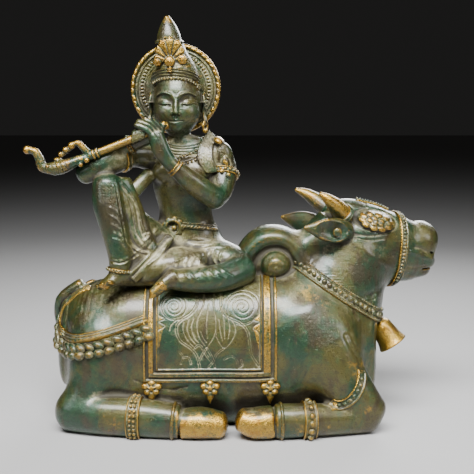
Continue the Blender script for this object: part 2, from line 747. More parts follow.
def row(name, node, spots, template, material, uneven=0.07):
    """Sets a template mesh at every spot, its z axis outwards and its x axis along the run."""
    places, normals, runs = spots
    mesh = bpy.data.meshes.new(name)
    mesh.from_pydata((places * MM).tolist(), [], [])
    for key, vectors in (("out", normals), ("run", runs)):
        mesh.attributes.new(key, "FLOAT_VECTOR", "POINT").data.foreach_set(
            "vector", np.ascontiguousarray(vectors, np.float32).ravel())
    carrier, shape = bpy.data.objects.new(name, mesh), bpy.data.objects.new("template", template)
    for each in (carrier, shape):
        bpy.context.scene.collection.objects.link(each)
    tree = repeater()
    modifier = carrier.modifiers.new("Set on points", "NODES")
    modifier.node_group = tree
    inputs = {i.name: i.identifier for i in tree.interface.items_tree if i.in_out == "INPUT"}
    for key, value in (("Template", shape), ("Material", material), ("Size", 1.0),
                       ("Unevenness", uneven), ("Seed", BEAD_SEED)):
        modifier[inputs[key]] = value
    bpy.context.view_layer.update()
    made = bpy.data.meshes.new_from_object(carrier.evaluated_get(bpy.context.evaluated_depsgraph_get()))
    carrier.modifiers.clear()
    carrier.data = made
    bpy.data.objects.remove(shape)
    made.transform(carrier.matrix_world)
    if min(vertex.co.z for vertex in made.vertices) < 0:
        for vertex in made.vertices:
            vertex.co.z = max(vertex.co.z, GROUND_GAP / 1000)
    return keep(carrier, node, material)


# The bull, which lies along x with its head at +x

TRUNK = dict(stations=[
    (-121, 0, 55, 20, 32), (-107, 0, 54, 36, 44), (-85, 0, 51, 43, 51), (-55, 0, 50.5, 45, 54),
    (-20, 0, 50.5, 44, 54), (15, 0, 50.5, 44, 54), (48, 0, 53, 43, 53), (78, 0, 50, 34, 45),
    (94.5, 0, 50, 25, 35)], power=2.6, caps=(7, 5), steps=6)
NECK = dict(stations=[(44, 0, 55, 26, 30), (58, 0, 76, 30, 38), (71, 0, 95, 27, 36), (80, 1, 109, 24, 30),
                      (87, 2, 120, 20, 25)], up=(0.836, 0, -0.548), caps=(8, 6))
NAPE = dict(stations=[(41, -1, 119, 12, 12), (53, 0, 125, 14.5, 13), (67, 2, 133, 16, 17)], caps=(4, 4))
HEAD = dict(stations=[
    (67, 2, 130, 18, 22), (82, 4, 123, 22, 30), (98, 8, 121.5, 20.5, 29), (113, 12.5, 119.5, 17, 25.5),
    (126, 16.5, 117.5, 14.5, 21), (135, 19, 118, 13, 17)], power=2.2, caps=(9, 8))
HUMP = dict(stations=[
    (4, -1, 108, 8, 13), (9, -1, 121, 8.5, 14), (18.5, -1, 129.5, 8.6, 15), (30, -1, 130.5, 8.2, 15),
    (40, -1, 125, 8, 15), (47, -1, 114, 9, 16)], up=(0, 1, 0), caps=(4, 4))
HAUNCH = dict(stations=[(-88, -24, 60, 21, 30), (-97, -28, 42, 19, 22), (-104, -32, 27, 15, 15),
                        (-111, -36, 14, 13, 13)], up=(1, 0, 0), caps=(16, 8))
HIND_SHANK = dict(stations=[(-113.5, -36, 13.5, 12.5, 14), (-92, -43, 13, 11.5, 13.5),
                            (-64, -47.5, 12.5, 11, 13.2), (-40, -50, 11, 10.5, 11.8)], caps=(12, 3))
FORE_ARM = dict(stations=[(44, -24, 72, 20, 26), (57, -32, 56, 17.5, 29), (72, -38, 36, 13.5, 19),
                          (84, -39.5, 23, 12, 14.5), (92, -38, 15, 11.5, 11.5)], up=(0.73, 0, 0.68),
                caps=(14, 9))
FORE_SHANK = dict(stations=[(90, -39, 9, 9, 9.5), (72, -44, 10.5, 9, 10.5), (50, -48.5, 11.5, 10, 11.5),
                            (27, -51, 11.5, 10.5, 12)], caps=(8, 3))
HIND_HOOF = dict(stations=[(-38, -50, 9.5, 10.5, 10), (-24, -50, 10, 11.8, 10.6), (-12, -50, 8.6, 10, 9.2)],
                 power=2.1, caps=(1, 6))
FORE_HOOF = dict(stations=[(24, -51, 11, 10.5, 11.2), (12, -51.5, 10.6, 11.5, 10.6), (3, -51.5, 13, 9, 8)],
                 power=2.1, caps=(1, 4))
NEAR_HORN = dict(stations=[(76, -8, 145, 6.6, 6.6), (70, -14, 152, 6, 6), (63, -18, 158.5, 4, 4),
                           (57.5, -19, 162.5, 1.6, 1.6)], up=(0, 1, 0), caps=(3, 1.2))
FAR_HORN = dict(stations=[(70, 14, 145, 6.6, 6.6), (61, 20, 152, 6, 6), (51, 23, 158.5, 4, 4),
                          (43.5, 24, 161.5, 1.6, 1.6)], up=(0, 1, 0), caps=(3, 1.2))
NEAR_EAR = dict(stations=[(77, -17, 137, 4, 6), (69, -24, 137.8, 4.4, 8.6), (58, -28, 139, 3.8, 7.2),
                          (46, -29, 140.5, 1.4, 1.2)], caps=(3, 0.6))
FAR_EAR = dict(stations=[(66, 21, 133.5, 4, 5), (57, 30, 135, 4.2, 8.2), (46, 37, 137, 3.8, 7.4),
                         (33.5, 42, 139.5, 1.4, 1.2)], caps=(3, 0.6))
TAIL = dict(stations=[(-112, 0, 96, 4, 5), (-127, 2, 84, 3.6, 4), (-128, 10, 62, 3.2, 3.4),
                      (-117, 24, 42, 3, 3.2), (-104, 36, 29, 3.6, 4)], up=(0, 1, 0), caps=(3, 3))
COLLAR_AT, COLLAR_FACING = np.array((71.0, 0, 95)), np.array((0.548, 0, 0.836))
STRAP = [(-60, -44, 82), (-74, -45, 76.5), (-92, -45, 70), (-109, -38, 65.5), (-120, -27, 65),
         (-127, -14, 70), (-127, -9, 79), (-119, -11, 91), (-103, -15, 101)]
CLOTH_SPAN, CLOTH_HEM = (-63.7, 27.6), 36.6
CLOTH_FRAMES = [  # outer and inner edges of each raised border: left, right, bottom, height
    ((-63.5, 27.3, 36.8), (-61.7, 25.1, 39.0), 0.8), ((-60.0, 23.0, 40.4), (-56.5, 17.9, 43.6), 1.1),
    ((-54.9, 16.9, 44.8), (-53.4, 15.9, 46.3), 0.7)]
CLOTH_LINES = [  # engraved lines (x, z), each with the gap between its two strokes
    (1.1, [(-27.6, 95), (-27.4, 89.6), (-31.3, 83.5), (-37.9, 79.1), (-40.7, 75.5), (-40.6, 70.9),
           (-37.8, 65.3),
           (-31.3, 60.6), (-27.5, 55.8), (-25.7, 50), (-25.2, 47.2)]),
    (0, [(-45.5, 72.5), (-44.3, 76.2), (-40.7, 79.1), (-36, 79.8)]),
    (0, [(-22.6, 97), (-22.9, 88.7), (-26.6, 80), (-27, 73.7), (-25.1, 67.2), (-20.5, 60.8)]),
    (0, [(-20.5, 60.8), (-16.2, 67.2), (-14.4, 73.7), (-14.4, 80), (-15.9, 88.7), (-15.5, 97)]),
    (0, [(-14.4, 73.7), (-13.4, 67.2), (-8.7, 60.6), (-3.1, 66.3), (-1, 72.8), (-2.2, 77.3), (-5, 81.5)]),
    (0, [(-36, 78.2), (-36.4, 72.8), (-33.6, 66.3), (-28.4, 60.6)]),
    (0, [(-32.7, 79.1), (-33.6, 73.7), (-31.2, 67.2), (-27.5, 63)]),
    (0, [(-29.4, 80), (-30.8, 74.6), (-28.9, 68.1), (-26.1, 64.4)]),
    (0.9, [(-28.4, 60.6), (-25, 62.5), (-20.5, 55.4), (-16.3, 50), (-15, 47.5)]),
    (0.9, [(-20.5, 60.8), (-23.8, 55.4), (-26.2, 50)]),
    (0.9, [(-20.5, 60.8), (-16.7, 53.9), (-14.9, 47.6)]),
    (0.9, [(-8.7, 60.6), (-13.4, 56.8), (-16.3, 51), (-19.1, 47.6)]),
    (0, [(-19.2, 90), (-20.5, 78.2), (-20, 67.2)]), (0, [(-24.5, 72), (-22.5, 67), (-20.6, 64.5)]),
    (0, [(-10.6, 88), (-8.7, 78.2), (-8.3, 67.2)]), (0, [(-6.9, 82.6), (-5, 75.5), (-5.9, 67.2)]),
    (0, [(-12.2, 80), (-11.3, 72), (-9.6, 65.5)]),
    (1.1, [(-10.7, 97), (-10.2, 87), (-6.9, 81.8), (2.5, 77.3), (7.2, 71.8), (8.6, 63.4), (10, 55.8),
           (14.6, 48.4)]),
    (0.8, [(-38.8, 58.2), (-36.5, 54.4), (-37.9, 50)]), (0.8, [(-36.5, 54.4), (-32.7, 53.9), (-31.3, 50)]),
    (0.8, [(-8.7, 52.9), (-4, 55.1), (-0.3, 52.5), (0.7, 47.9), (3.5, 49.1), (3, 52.5)]),
    (0, [(-53.4, 96), (-53.4, 83.5), (-48.7, 80.4), (-52.5, 78.2), (-48.6, 75.5), (-53.2, 72.5)]),
    (0, [(15.2, 96), (15.2, 84), (11.4, 79.5), (15.4, 77.7), (11, 74.1), (14.9, 70), (15, 58), (14.9, 48)])]
CLOTH_SPIRALS = [(-42.8, 88.5, 8.6), (3.6, 88.2, 11.6)]  # centre (x, z) and radius
CLOTH_SCALLOPS = [  # the gold edge beside the right border: level and x
    (48, 15), (58, 14.6), (66, 12.8), (74, 11), (76, 12.4), (77.7, 15.4), (79.5, 11.4), (82, 12.8),
    (84, 15.2)]
CLOTH_STEP = 0.35
PLAQUE_AT, PLAQUE_TILT, PLAQUE_HALF = (97, 142.6), 0.2, (13.4, 6.4)  # centre (x, z), slope and half sizes
BULL_GRIDS = {  # the low corner, the high corner and the cell of each grid
    "body": ((-137, -66, -4), (150, 66, 168), 1.2), "bare": ((-137, -66, -4), (150, 66, 168), 1.4),
    "head": ((28, -42, 66), (150, 50, 168), 0.62)}
BODY_CREASES = [
    (1.3, 0.9, [(73.1, 69.1), (77, 61.3), (82.8, 52.5), (87.7, 44.7)]),
    (1.2, 0.7, [(76.5, 70), (80.4, 62), (86, 53.4)]),
    (1.2, 0.4, [(35.8, 66.7), (34.5, 61.9), (34, 57)]), (1.2, 0.3,
                                                         [(39.1, 65.7), (39.7, 55.1), (38.8, 43.5)]),
    (1.4, 0.8, [(-34, 33), (-44, 31), (-58, 33), (-70, 38)]),
    (1.1, 0.8, [(19.6, 110), (22, 117.4), (28, 119.6), (33.6, 116)]),
    (1.1, 0.7, [(22, 107), (24.6, 112), (29.4, 112.6)])]


def limb(shape, flip=False):
    shape = dict(shape)
    stations = shape.pop("stations")
    return Limb(*(mirrored(stations) if flip else stations), **shape)


def both_sides(shape):
    return limb(shape), limb(shape, flip=True)


@functools.cache
def bull_clay(part="body"):
    """The bull's skin: the whole body, the bare one without hump, horns and ears, or the head more finely."""
    clay = Clay(*BULL_GRIDS[part])
    clay.add(limb(TRUNK)).add(limb(NECK), blend=10)
    clay.add(*both_sides(HAUNCH), *both_sides(FORE_ARM), blend=8)
    clay.add(*both_sides(HIND_SHANK), *both_sides(FORE_SHANK), blend=4)
    clay.add(*both_sides(HIND_HOOF), *both_sides(FORE_HOOF), blend=0.8)
    if part != "bare":
        clay.add(limb(TAIL), blend=3)
        clay.add(Egg((27, 0, 110), (21, 15, 20)), blend=4).add(limb(HUMP), blend=2)
        clay.add(*(Egg((27, side * 9.5 - 1, 111.7), (11, 11.4, 10.8)) for side in (-1, 1)), blend=0.8)
    clay.add(limb(HEAD), blend=7).add(limb(NAPE), blend=5)
    clay.add(Egg((88, 4, 146), (16, 12, 8), (0, 6, 8)), Egg((77, 3, 149), (13, 10, 8)), blend=6)
    clay.add(*(Egg((96 + side * 0.6, 7 + side * 14.5, 137), (12, 6, 9), (0, 0, 14)) for side in (-1, 1)),
             blend=5)
    clay.add(Egg((132.6, 18, 125.6), (14, 14, 14)), blend=4)
    clay.add(Egg((134, 18.5, 110), (10.5, 11.4, 6)), blend=2.5)
    clay.add(Egg((122, 15, 101.8), (10, 10.5, 5.4)), Egg((132, 17.8, 102.4), (8.6, 9.6, 4.2)), blend=2)
    clay.cut(Egg((141, 20, 105.8), (13, 15, 0.5)), blend=1.2)
    if part != "bare":
        clay.add(limb(NEAR_HORN), limb(FAR_HORN), blend=1.6)
        clay.add(limb(NEAR_EAR), limb(FAR_EAR), blend=2.5)
        for ear, side in ((limb(NEAR_EAR), -1), (limb(FAR_EAR), 1)):
            centre, along, _ = ear.at(1.35)
            turn = math.degrees(math.atan2(along[1], along[0]))
            hollow = centre + np.array((-1.4, side * 4.4, 0.4))
            clay.cut(Egg(hollow, (16.5, 3.6, 7.0), (0, 12 * side, turn)), blend=0.6)
        clay.add(Egg((68.5, -27.4, 137), (3.2, 1.4, 3.2)), blend=0.5)
    if part == "head":
        carve_head(clay)
    if part == "body":
        clay.engrave(BODY_CREASES)
    ground = clay.low[2] + clay.cell * np.arange(clay.field.shape[2])
    clay.field = np.maximum(clay.field, -ground.astype(np.float32))
    return clay


def on_plaque(places, half):
    """Places measured from the plaque's centre, along it and across it, in half sizes."""
    x = places[:, 0] - PLAQUE_AT[0]
    return x / half[0], (places[:, 2] - PLAQUE_AT[1] + PLAQUE_TILT * x) / half[1]


def plaque(places):
    """The height of the leafy plaque over each eye: a raised leaf with rings of petals."""
    x, z = on_plaque(places, PLAQUE_HALF)
    reach = np.hypot(x, z)
    height = 1.5 * np.clip(3 - 3 * reach, 0, 1) ** 0.5 - 0.8 * np.exp(-((reach - 1.17) / 0.09) ** 2)
    rings = ((0.74, 10, 0.1, (3.1, 2.2)), (0.33, 5, 0.5, (2.7, 1.9)), (0.0, 1, 0, (1.8, 1.5)))
    for ring, count, turn, half in rings:
        for angle in turn + np.arange(count) * 2 * np.pi / count:
            across = (x - ring * np.cos(angle)) * PLAQUE_HALF[0] / half[0]
            upward = (z - ring * np.sin(angle)) * PLAQUE_HALF[1] / half[1]
            petal = np.sqrt(np.clip(1 - across ** 2 - upward ** 2, 0, 1))
            height = np.maximum(height, (petal > 0) * (1.1 + 1.5 * petal) - 2 * (petal == 0))
    return height


def carve_head(clay):
    """Nostrils, mouth corners, eyes, wrinkles and jaw lines of the bull."""
    clay.press((76, -30, 130), (114, 44, 158), plaque)
    for side in (-1, 1):
        clay.cut(Egg((139.5, 18.5 + side * 9.4, 117.6), (2.4, 2.2, 0.7), (0, 26, side * -30)), blend=1.6)
    clay.engrave((
        (1.3, 0.8, [(127.5, 122.8), (132, 121), (137, 118), (142, 116.4)]),
        (1.6, -0.7, [(124, 119.4), (130, 117.6), (135, 114.6), (141, 113)]),
        (0.9, 0.8, [(76, 136.4), (85, 133.6), (97, 133), (108, 135.4)]),
        (0.8, 0.5, [(82, 131.6), (92, 129.8), (103, 130.4)]),
        (0.8, 0.4, [(122, 108.6), (129, 107.6), (137, 108)]),
        (2.2, 0.7, [(69.6, 98), (80, 92.5), (92, 92), (104, 97)])))


def beyond_collar(places):
    """Which places belong to the head: those past the collar's plane that aren't on the hump."""
    hump = (limb(HUMP).distance(places.astype(np.float32)) < 3) & (places[:, 0] < 50)
    ball = (np.linalg.norm((places - (27, 0, 113)) * (1, 0.8, 1), axis=1) < 24)
    return ((places - COLLAR_AT) @ COLLAR_FACING > 0) & ~hump & ~ball


def bull_gilt(places):
    """The hooves' gold and the ochre patches by the harness."""
    low = np.where(places[:, 2] < 30)[0]
    hoof = np.zeros(len(places))
    for form in (*both_sides(HIND_HOOF), *both_sides(FORE_HOOF)):
        near = form.distance(places[low].astype(np.float32))
        hoof[low] = np.maximum(hoof[low], np.clip(1.3 - near / 2.5, 0, 1))
    hoof *= np.clip((21 - 0.6 * shaken(places)[:, 2] - 0.4 * places[:, 2]) / 5, 0, 1)
    horn = np.zeros(len(places))
    high = np.where(places[:, 2] > 140)[0]
    for form, share in ((limb(NEAR_HORN), 0.55), (limb(FAR_HORN), 0.3)):
        away = form.distance(places[high].astype(np.float32))
        horn[high] = np.maximum(horn[high], share * np.clip(1 - away, 0, 1))
    patches = spots_near(places, [
        (48, -30, 94, 10), (57, -28, 89, 10), (65, -25, 84.5, 9), (72, -22, 80, 7), (82, -46, 44, 9),
        (84.5, -46, 19, 6), (39.5, -58, 9, 7), (60, -56, 9, 4.5), (-82, -53, 11, 7), (-84, -50, 6, 6)])
    leaf = 0.35 * (np.hypot(*on_plaque(places, (14, 7))) < 1)
    return np.max([hoof * 0.8, patches * 0.62, horn, leaf], 0)


def bull_dust(places):
    """The paler film on the hump, the knobs, the muzzle, the shoulder and the hind leg."""
    return 0.16 * spots_near(places, [
        (27, -6, 131, 14), (27, -14, 112, 12), (12, -6, 122, 12), (40, -8, 124, 12), (130, 10, 130, 13),
        (138, 16, 118, 9),
        (-92, -46, 22, 11), (-70, -48, 22, 12), (-50, -49, 20, 11), (40, -36, 92, 12), (-20, -40, 92, 20),
        (-82, -30, 92, 16),
        (46, -50, 18, 10), (66, -46, 18, 10)])


def harness(name, path, normals, section, closed=True, material=None, gilt=0.05, dust=0.35, clay=None):
    places, faces = band(clay or bull_clay("bare"), path, normals, section, closed)
    return piece(name, "bull", places, faces, material or materials()[0], gilt=gilt, dust=dust)


def section_point(x, phi, side, raised=0.0):
    """A place on the trunk at x, at an angle phi above its middle height."""
    rows = limb(TRUNK)
    half_width, half_height, middle = (np.interp(x, rows.centre[:, 0], v)
                                       for v in (rows.half[:, 0], rows.half[:, 1], rows.centre[:, 2]))
    power = 2 / TRUNK["power"]
    c, s = np.cos(phi), np.sin(phi)
    return np.stack([x + 0 * phi, side * (half_width + raised) * np.abs(c) ** power,
                     middle + (half_height + raised) * np.sign(s) * np.abs(s) ** power], -1)


def cloth_relief(x, level):
    """The height of the saddle cloth's borders and engraving, and how pale and how golden it is."""
    height, pale, gilt = np.zeros(len(x)), np.zeros(len(x)), np.zeros(len(x))
    for outer, inner, tall in CLOTH_FRAMES:
        inside = [np.minimum(np.minimum(x - edge[0], edge[1] - x), level - edge[2])
                  for edge in (outer, inner)]
        rib = np.clip(np.minimum(inside[0], -inside[1]) / 0.7, 0, 1)
        below = level < inner[2]
        height = np.maximum(
            height, tall * np.sqrt(rib * (2 - rib)) * (1 - 0.35 * below * np.cos(level * 3.4) ** 2))
        gilt = np.maximum(gilt, rib * np.where(below, 0.1, 0.56 if tall > 1 else 0.25))
        pale = np.maximum(pale, 0.4 * rib * below)
    left, right, bottom = CLOTH_FRAMES[2][1]
    height[((level < bottom) | (x < left) | (x > right)) & (height < 0.05)] = -0.7
    edge = np.interp(level, *zip(*CLOTH_SCALLOPS))
    golden = np.clip((x - edge) * 2, 0, 1) * np.clip((16 - x) * 2, 0, 1) * (level > 46.5)
    gilt = np.maximum(gilt, 0.8 * golden)
    edge = -38.3 - edge
    golden = np.clip((edge - x) * 2, 0, 1) * np.clip((x + 54) * 2, 0, 1) * (level > 60)
    gilt = np.maximum(gilt, 0.6 * golden)
    flat = np.stack([x, level, 0 * x], 1).astype(np.float32)
    for gap, line in CLOTH_LINES:
        path = smooth_path([(a, b, 0.0) for a, b in line], 0.9)
        away = np.abs(line_distance(flat, path) - gap * 0.6)
        height -= 0.42 * np.exp(-(away / 0.3) ** 2)
        pale = np.maximum(pale, 0.36 * np.exp(-((away - 0.6) / 0.42) ** 2))
    for a, b, radius in CLOTH_SPIRALS:
        reach, angle = np.hypot(x - a, (level - b) * 0.95), np.arctan2(level - b, x - a)
        turn = (reach / radius * 3.6 - angle / (2 * np.pi)) % 1
        stroke = np.exp(-((turn - 0.5) / 0.11) ** 2) * (reach < radius) * (reach > 1)
        stroke = np.maximum(stroke, np.exp(-((reach - radius) / 0.3) ** 2))
        height -= 0.22 * stroke
        pale = np.maximum(pale, 0.12 * stroke)
    return height, pale, gilt


class MakeBull(bpy.types.Operator):
    """Builds the lying bull's body and head"""

    bl_idname = "bronze.bull"
    bl_label = "Bull"

    def execute(self, context):
        patina, _ = materials()
        places, faces = bull_clay().skin()
        faces = faces[~beyond_collar(places)[faces].all(1)]
        places, faces = used_only(places, faces)
        piece("bull_body", "bull", places, faces, patina, gilt=bull_gilt(places), dust=bull_dust(places),
              clay=bull_clay())
        places, faces = bull_clay("head").skin()
        faces = faces[beyond_collar(places + COLLAR_FACING * 1.2)[faces].all(1)]
        places, faces = used_only(places, faces)
        piece("bull_head", "bull", places, faces, patina, gilt=bull_gilt(places), dust=bull_dust(places),
              crest=1.5, clay=bull_clay())
        return {"FINISHED"}


class MakeSaddleCloth(bpy.types.Operator):
    """Builds the engraved saddle cloth and its tassels"""

    bl_idname = "bronze.saddle_cloth"
    bl_label = "Saddle Cloth"

    def execute(self, context):
        phi = np.linspace(-0.9, np.pi / 2, 4000)
        section = section_point(-20.0, phi, -1.0)
        run = run_along(section)
        hem = np.interp(CLOTH_HEM, section[:, 2], run)
        near, far = (np.interp(np.arange(hem, run[-1], step), run, phi) for step in (CLOTH_STEP, 1.2))
        angles = np.concatenate([near, [np.pi / 2], far[::-1]])
        side = np.concatenate([-np.ones(len(near) + 1), np.ones(len(far))])
        level = np.interp(angles, phi, run) - hem + CLOTH_HEM
        x = np.arange(*CLOTH_SPAN, CLOTH_STEP)
        grid_x, grid_level = np.meshgrid(x, level)
        height, pale, gilt = cloth_relief(grid_x.ravel(), grid_level.ravel())
        base = np.stack([section_point(x, a, s) for a, s in zip(angles, side)])
        down = np.gradient(base, axis=0)
        normals = unit(np.cross(np.gradient(base, axis=1), down))
        rise = 0.95 + height.reshape(grid_x.shape)
        sunk = np.minimum(np.minimum(grid_x - x[0], x[-1] - grid_x), grid_level - level[0])
        rise = np.where(sunk < 0.01, -1.5, rise)
        places = (base + normals * rise[:, :, None]).reshape(-1, 3)
        faces = grid_faces(*grid_x.shape)
        patina, _ = materials()
        piece("saddle_cloth", "bull", places, outward(places, faces), patina, gilt=gilt, dust=pale + 0.06)
        self.tassels()
        return {"FINISHED"}

    def tassels(self):
        _, brass = materials()
        clay = Clay((-9, -15, -3), (9, 8, 8), 0.4)
        clay.add(Egg((0, 0, 1.5), (4.4, 3.8, 3.2)), blend=0.5)
        for turn in np.radians(90 + 72 * np.arange(5)):
            clay.add(Egg((4.4 * math.cos(turn), 3.2 * math.sin(turn), 1.8), (2.7, 2.3, 2.4)), blend=0.4)
        clay.add(Limb((0, -3.5, 1.4, 3.2, 2.2), (0, -7.0, 1.0, 2.2, 1.8), (0, -10.5, 0.6, 0.6, 0.6),
                      caps=(1, 1)), blend=0.5)
        for turn in np.radians(126 + 72 * np.arange(5)):
            clay.cut(Egg((2.3 * math.cos(turn), 2.3 * math.sin(turn), 4.2), (0.9, 0.9, 1.2)), blend=0.6)
        places, faces = clay.skin()
        template = shaped("tassel", places, faces, brass, gilt=0.2, dust=0.1)
        spots = []
        for side in (-1, 1):
            for x in (-58.0, -18.3, 22.6):
                start, inward = np.array([[x, side * 75.0, 33.0]]), np.array([[0.0, -side, 0]])
                spots.append((bull_clay().land(start, inward, 60)[0], (0, side, 0.0), (-side, 0, 0)))
        row("tassels", "bull", tuple(np.array(v, float) for v in zip(*spots)), template, brass, uneven=0.05)


class MakeHarness(bpy.types.Operator):
    """Builds the collar, the rump strap with its drops, the noseband and the bands on the legs"""

    bl_idname = "bronze.harness"
    bl_label = "Harness"

    def execute(self, context):
        self.collar()
        self.rump_strap()
        self.leg_bands()
        self.head_straps()
        self.bell()
        return {"FINISHED"}

    def collar(self):
        patina, _ = materials()
        clay = bull_clay("bare")
        path, normals = ring(clay, COLLAR_AT, COLLAR_FACING, 70)
        width = drawn("collar_width")
        edge = width / 2 - 0.7
        section = ribs(width, (-edge, 0.7, 1.7), (1.25 - edge, 0.55, 1.5), (edge - 1.25, 0.55, 1.5),
                       (edge, 0.7, 1.7), base=0.7)
        harness("collar", path, normals, section)
        spots = spaced(path, normals, 4.3, True, 1.2)
        upper = spots[0][:, 2] > 82
        for name, chosen, template in (("pearls", upper, ball((1.95, 1.9, 1.7))),
                                       ("blocks", ~upper, ball((1.9, 2.3, 1.3), 4, 4))):
            row(f"collar_{name}", "bull", tuple(part[chosen] for part in spots), template, patina,
                uneven=0.08)
        for k, offset in enumerate((-edge, edge)):
            line = beside(clay, path, normals, offset, True)
            row(f"collar_cord_{k}", "bull", spaced(*line, 1.7, True, 1.1),
                ball((0.8, 1.0, 0.8), 4, 6, lean=0.6), patina, uneven=0.04)

    def rump_strap(self):
        patina, brass = materials()
        clay = bull_clay("bare")
        leaf, knob = ball((4.4, 2.5, 2.2), 8, 12, lean=-0.6), ball((3.7, 3.1, 2.9), 8, 12)
        for side in (-1, 1):
            route = [(x, -side * y, z) for x, y, z in STRAP]
            path, normals = skin_path(clay, (-85, 0, 60), route)
            down = -side
            section = ribs(drawn("strap_width"), (-2.5 * down, 0.75, 1.2), (-0.7 * down, 0.85, 1.4),
                           (1.5 * down, 1.5, 1.7), base=0.5)
            harness(f"rump_strap_{side + 1}", path, normals, section, False, brass, gilt=0.1, dust=0.2)
            last = int(len(path) * 0.74)
            hang = path[:last], normals[:last]
            for name, offset, gap, template in (("leaves", 6.6, 6.9, leaf), ("knobs", 11.8, 7.2, knob)):
                line = beside(clay, *hang, offset * down)
                row(f"rump_{name}_{side + 1}", "bull", spaced(*line, gap, False, 0.5), template, patina,
                    uneven=0.1)

    def leg_bands(self):
        patina, brass = materials()
        section = rimmed(drawn("bracelet_width"), 0.75, 1.9, 1.0)
        for mirror, mark in ((False, "near"), (True, "far")):
            for name, shape, t in (("fore", FORE_SHANK, 2.06), ("hind", HIND_SHANK, 1.82)):
                shank = limb(shape, mirror)
                clay = lone(shank)
                path, normals = limb_ring(clay, shank, t, 24)
                harness(f"{name}_bracelet_{mark}", path, normals, section, True, brass, gilt=0.1, dust=0.3,
                        clay=clay)
                if name == "fore":
                    row(f"fore_pearls_{mark}", "bull", spaced(path, normals, 5.0, True, 1.4),
                        ball((2.2, 2.0, 1.7), 6, 12), brass, uneven=0.05)
                else:
                    for k in (-1.4, 1.4):
                        line = beside(clay, path, normals, k, True)
                        row(f"hind_beads_{mark}_{k > 0:d}", "bull", spaced(*line, 3.0, True, 1.2),
                            ball((1.2, 1.25, 1.3), 5, 8, lean=0.5), brass, uneven=0.1)
                path, normals = limb_ring(clay, shank, 2.84, 24)
                harness(f"{name}_ring_{mark}", path, normals, ribs(2.4, (0, 1.1, 1.3)), gilt=0.15, clay=clay)
        clay = bull_clay("bare")
        flat = [(84.2, 46), (84, 40.5), (82, 34), (77.4, 27.4), (70.7, 22.7), (62.5, 21.2)]
        for side in (-1, 1):
            path, normals = facing_path(clay, flat, 0.8, side)
            harness(f"arm_band_{side + 1}", path, normals, rimmed(6.8, 0.7, 1.5, 0.8), False, patina,
                    gilt=0.3, dust=0.3)
            row(f"arm_beads_{side + 1}", "bull", spaced(path[6:-6], normals[6:-6], 4.4, False, 1.0),
                ball((1.9, 1.6, 1.0), 4, 8), patina, uneven=0.05)

    def head_straps(self):
        patina, _ = materials()
        path, normals = limb_ring(bull_clay("bare"), limb(HEAD), 3.0, 34, lean=0.04)
        harness("noseband", path, normals, rimmed(6.6, 0.7, 1.5, 0.7), gilt=0.1, dust=0.4)
        row("noseband_beads", "bull", spaced(path, normals, 2.5, True, 1.0), ball((1.1, 1.5, 1.1), 5, 8),
            patina,
            uneven=0.1)
        top = smooth_path([(84, 2.5, 170), (92, 4, 170), (100, 6, 170), (108.5, 9.5, 170)], 0.8)
        clay = bull_clay("head")
        spots = clay.land(top, np.tile((0.0, 0, -1), (len(top), 1)), 60)
        normals = clay.normal(spots)
        harness("forehead_strap", spots, normals, rimmed(4.2, 0.5, 1.1, 0.6, 0.5), False, gilt=0.0, dust=0.4,
                clay=clay)
        row("forehead_beads", "bull", spaced(spots, normals, 2.1, False, 0.8), ball((0.95, 1.0, 0.9), 5, 8),
            patina)
        for name, horn in (("near", NEAR_HORN), ("far", FAR_HORN)):
            clay = lone(limb(horn), 0.6)
            path, normals = limb_ring(clay, limb(horn), 0.42, 9.5)
            harness(f"horn_ring_{name}", path, normals, rimmed(3.8, 0.8, 1.5, 0.7, 0.8), gilt=-0.5, dust=-0.2,
                    clay=clay)

    def bell(self):
        """A bell on the chest below the collar."""
        _, brass = materials()
        top, along = np.array((100.5, -4, 70)), unit(np.array((0.56, -0.1, -0.82)))
        one = unit(np.cross(along, (0, 1, 0)))
        two = np.cross(along, one)
        profile = [(0.02, -0.02), (0.3, -0.01), (0.54, 0.04), (0.68, 0.12), (0.74, 0.22), (0.77, 0.35),
                   (0.8, 0.48),
                   (0.84, 0.62), (0.88, 0.74), (0.93, 0.83), (0.98, 0.9), (1.02, 0.95), (1.02, 0.99),
                   (0.97, 1.0),
                   (0.9, 0.985), (0.8, 0.96), (0.6, 0.9), (0.4, 0.82), (0.02, 0.75)]
        curve = smooth_path([(r, z, 0.0) for r, z in profile], 0.02)
        angle = np.linspace(0, 2 * np.pi, 72, endpoint=False)
        length, radius = drawn("bell_length"), drawn("bell_radius")
        places = np.stack([top + along * z * length + r * radius * (np.cos(a) * one + np.sin(a) * two)
                           for r, z, _ in curve for a in angle])
        faces = grid_faces(len(curve), 72, False, True)
        clay = Clay((90, -16, 46), (128, 8, 82), 0.6)
        rod = lambda start, first, end, second, caps: Limb(
            (*(top + along * start), first, first), (*(top + along * end), second, second), caps=caps)
        clay.add(rod(-3, 2.4, 2, 3.2, (2, 1)), blend=0.5)
        clay.add(Egg(top + along * 17.5, 2.8), blend=0.5)
        clay.add(rod(12, 0.8, 17, 0.9, (1, 1)), blend=0.5)
        piece("bell", "bull", *joined([(places, faces), clay.skin()]), brass, gilt=0.25)


# The flute player

def thread(radius, *points, end=None):
    """A tube of round section through points, thinning to its end."""
    ends = np.linspace(radius, end if end is not None else radius, len(points))
    return Limb(*((*p, r, r) for p, r in zip(points, ends)), caps=(radius, ends[-1]))


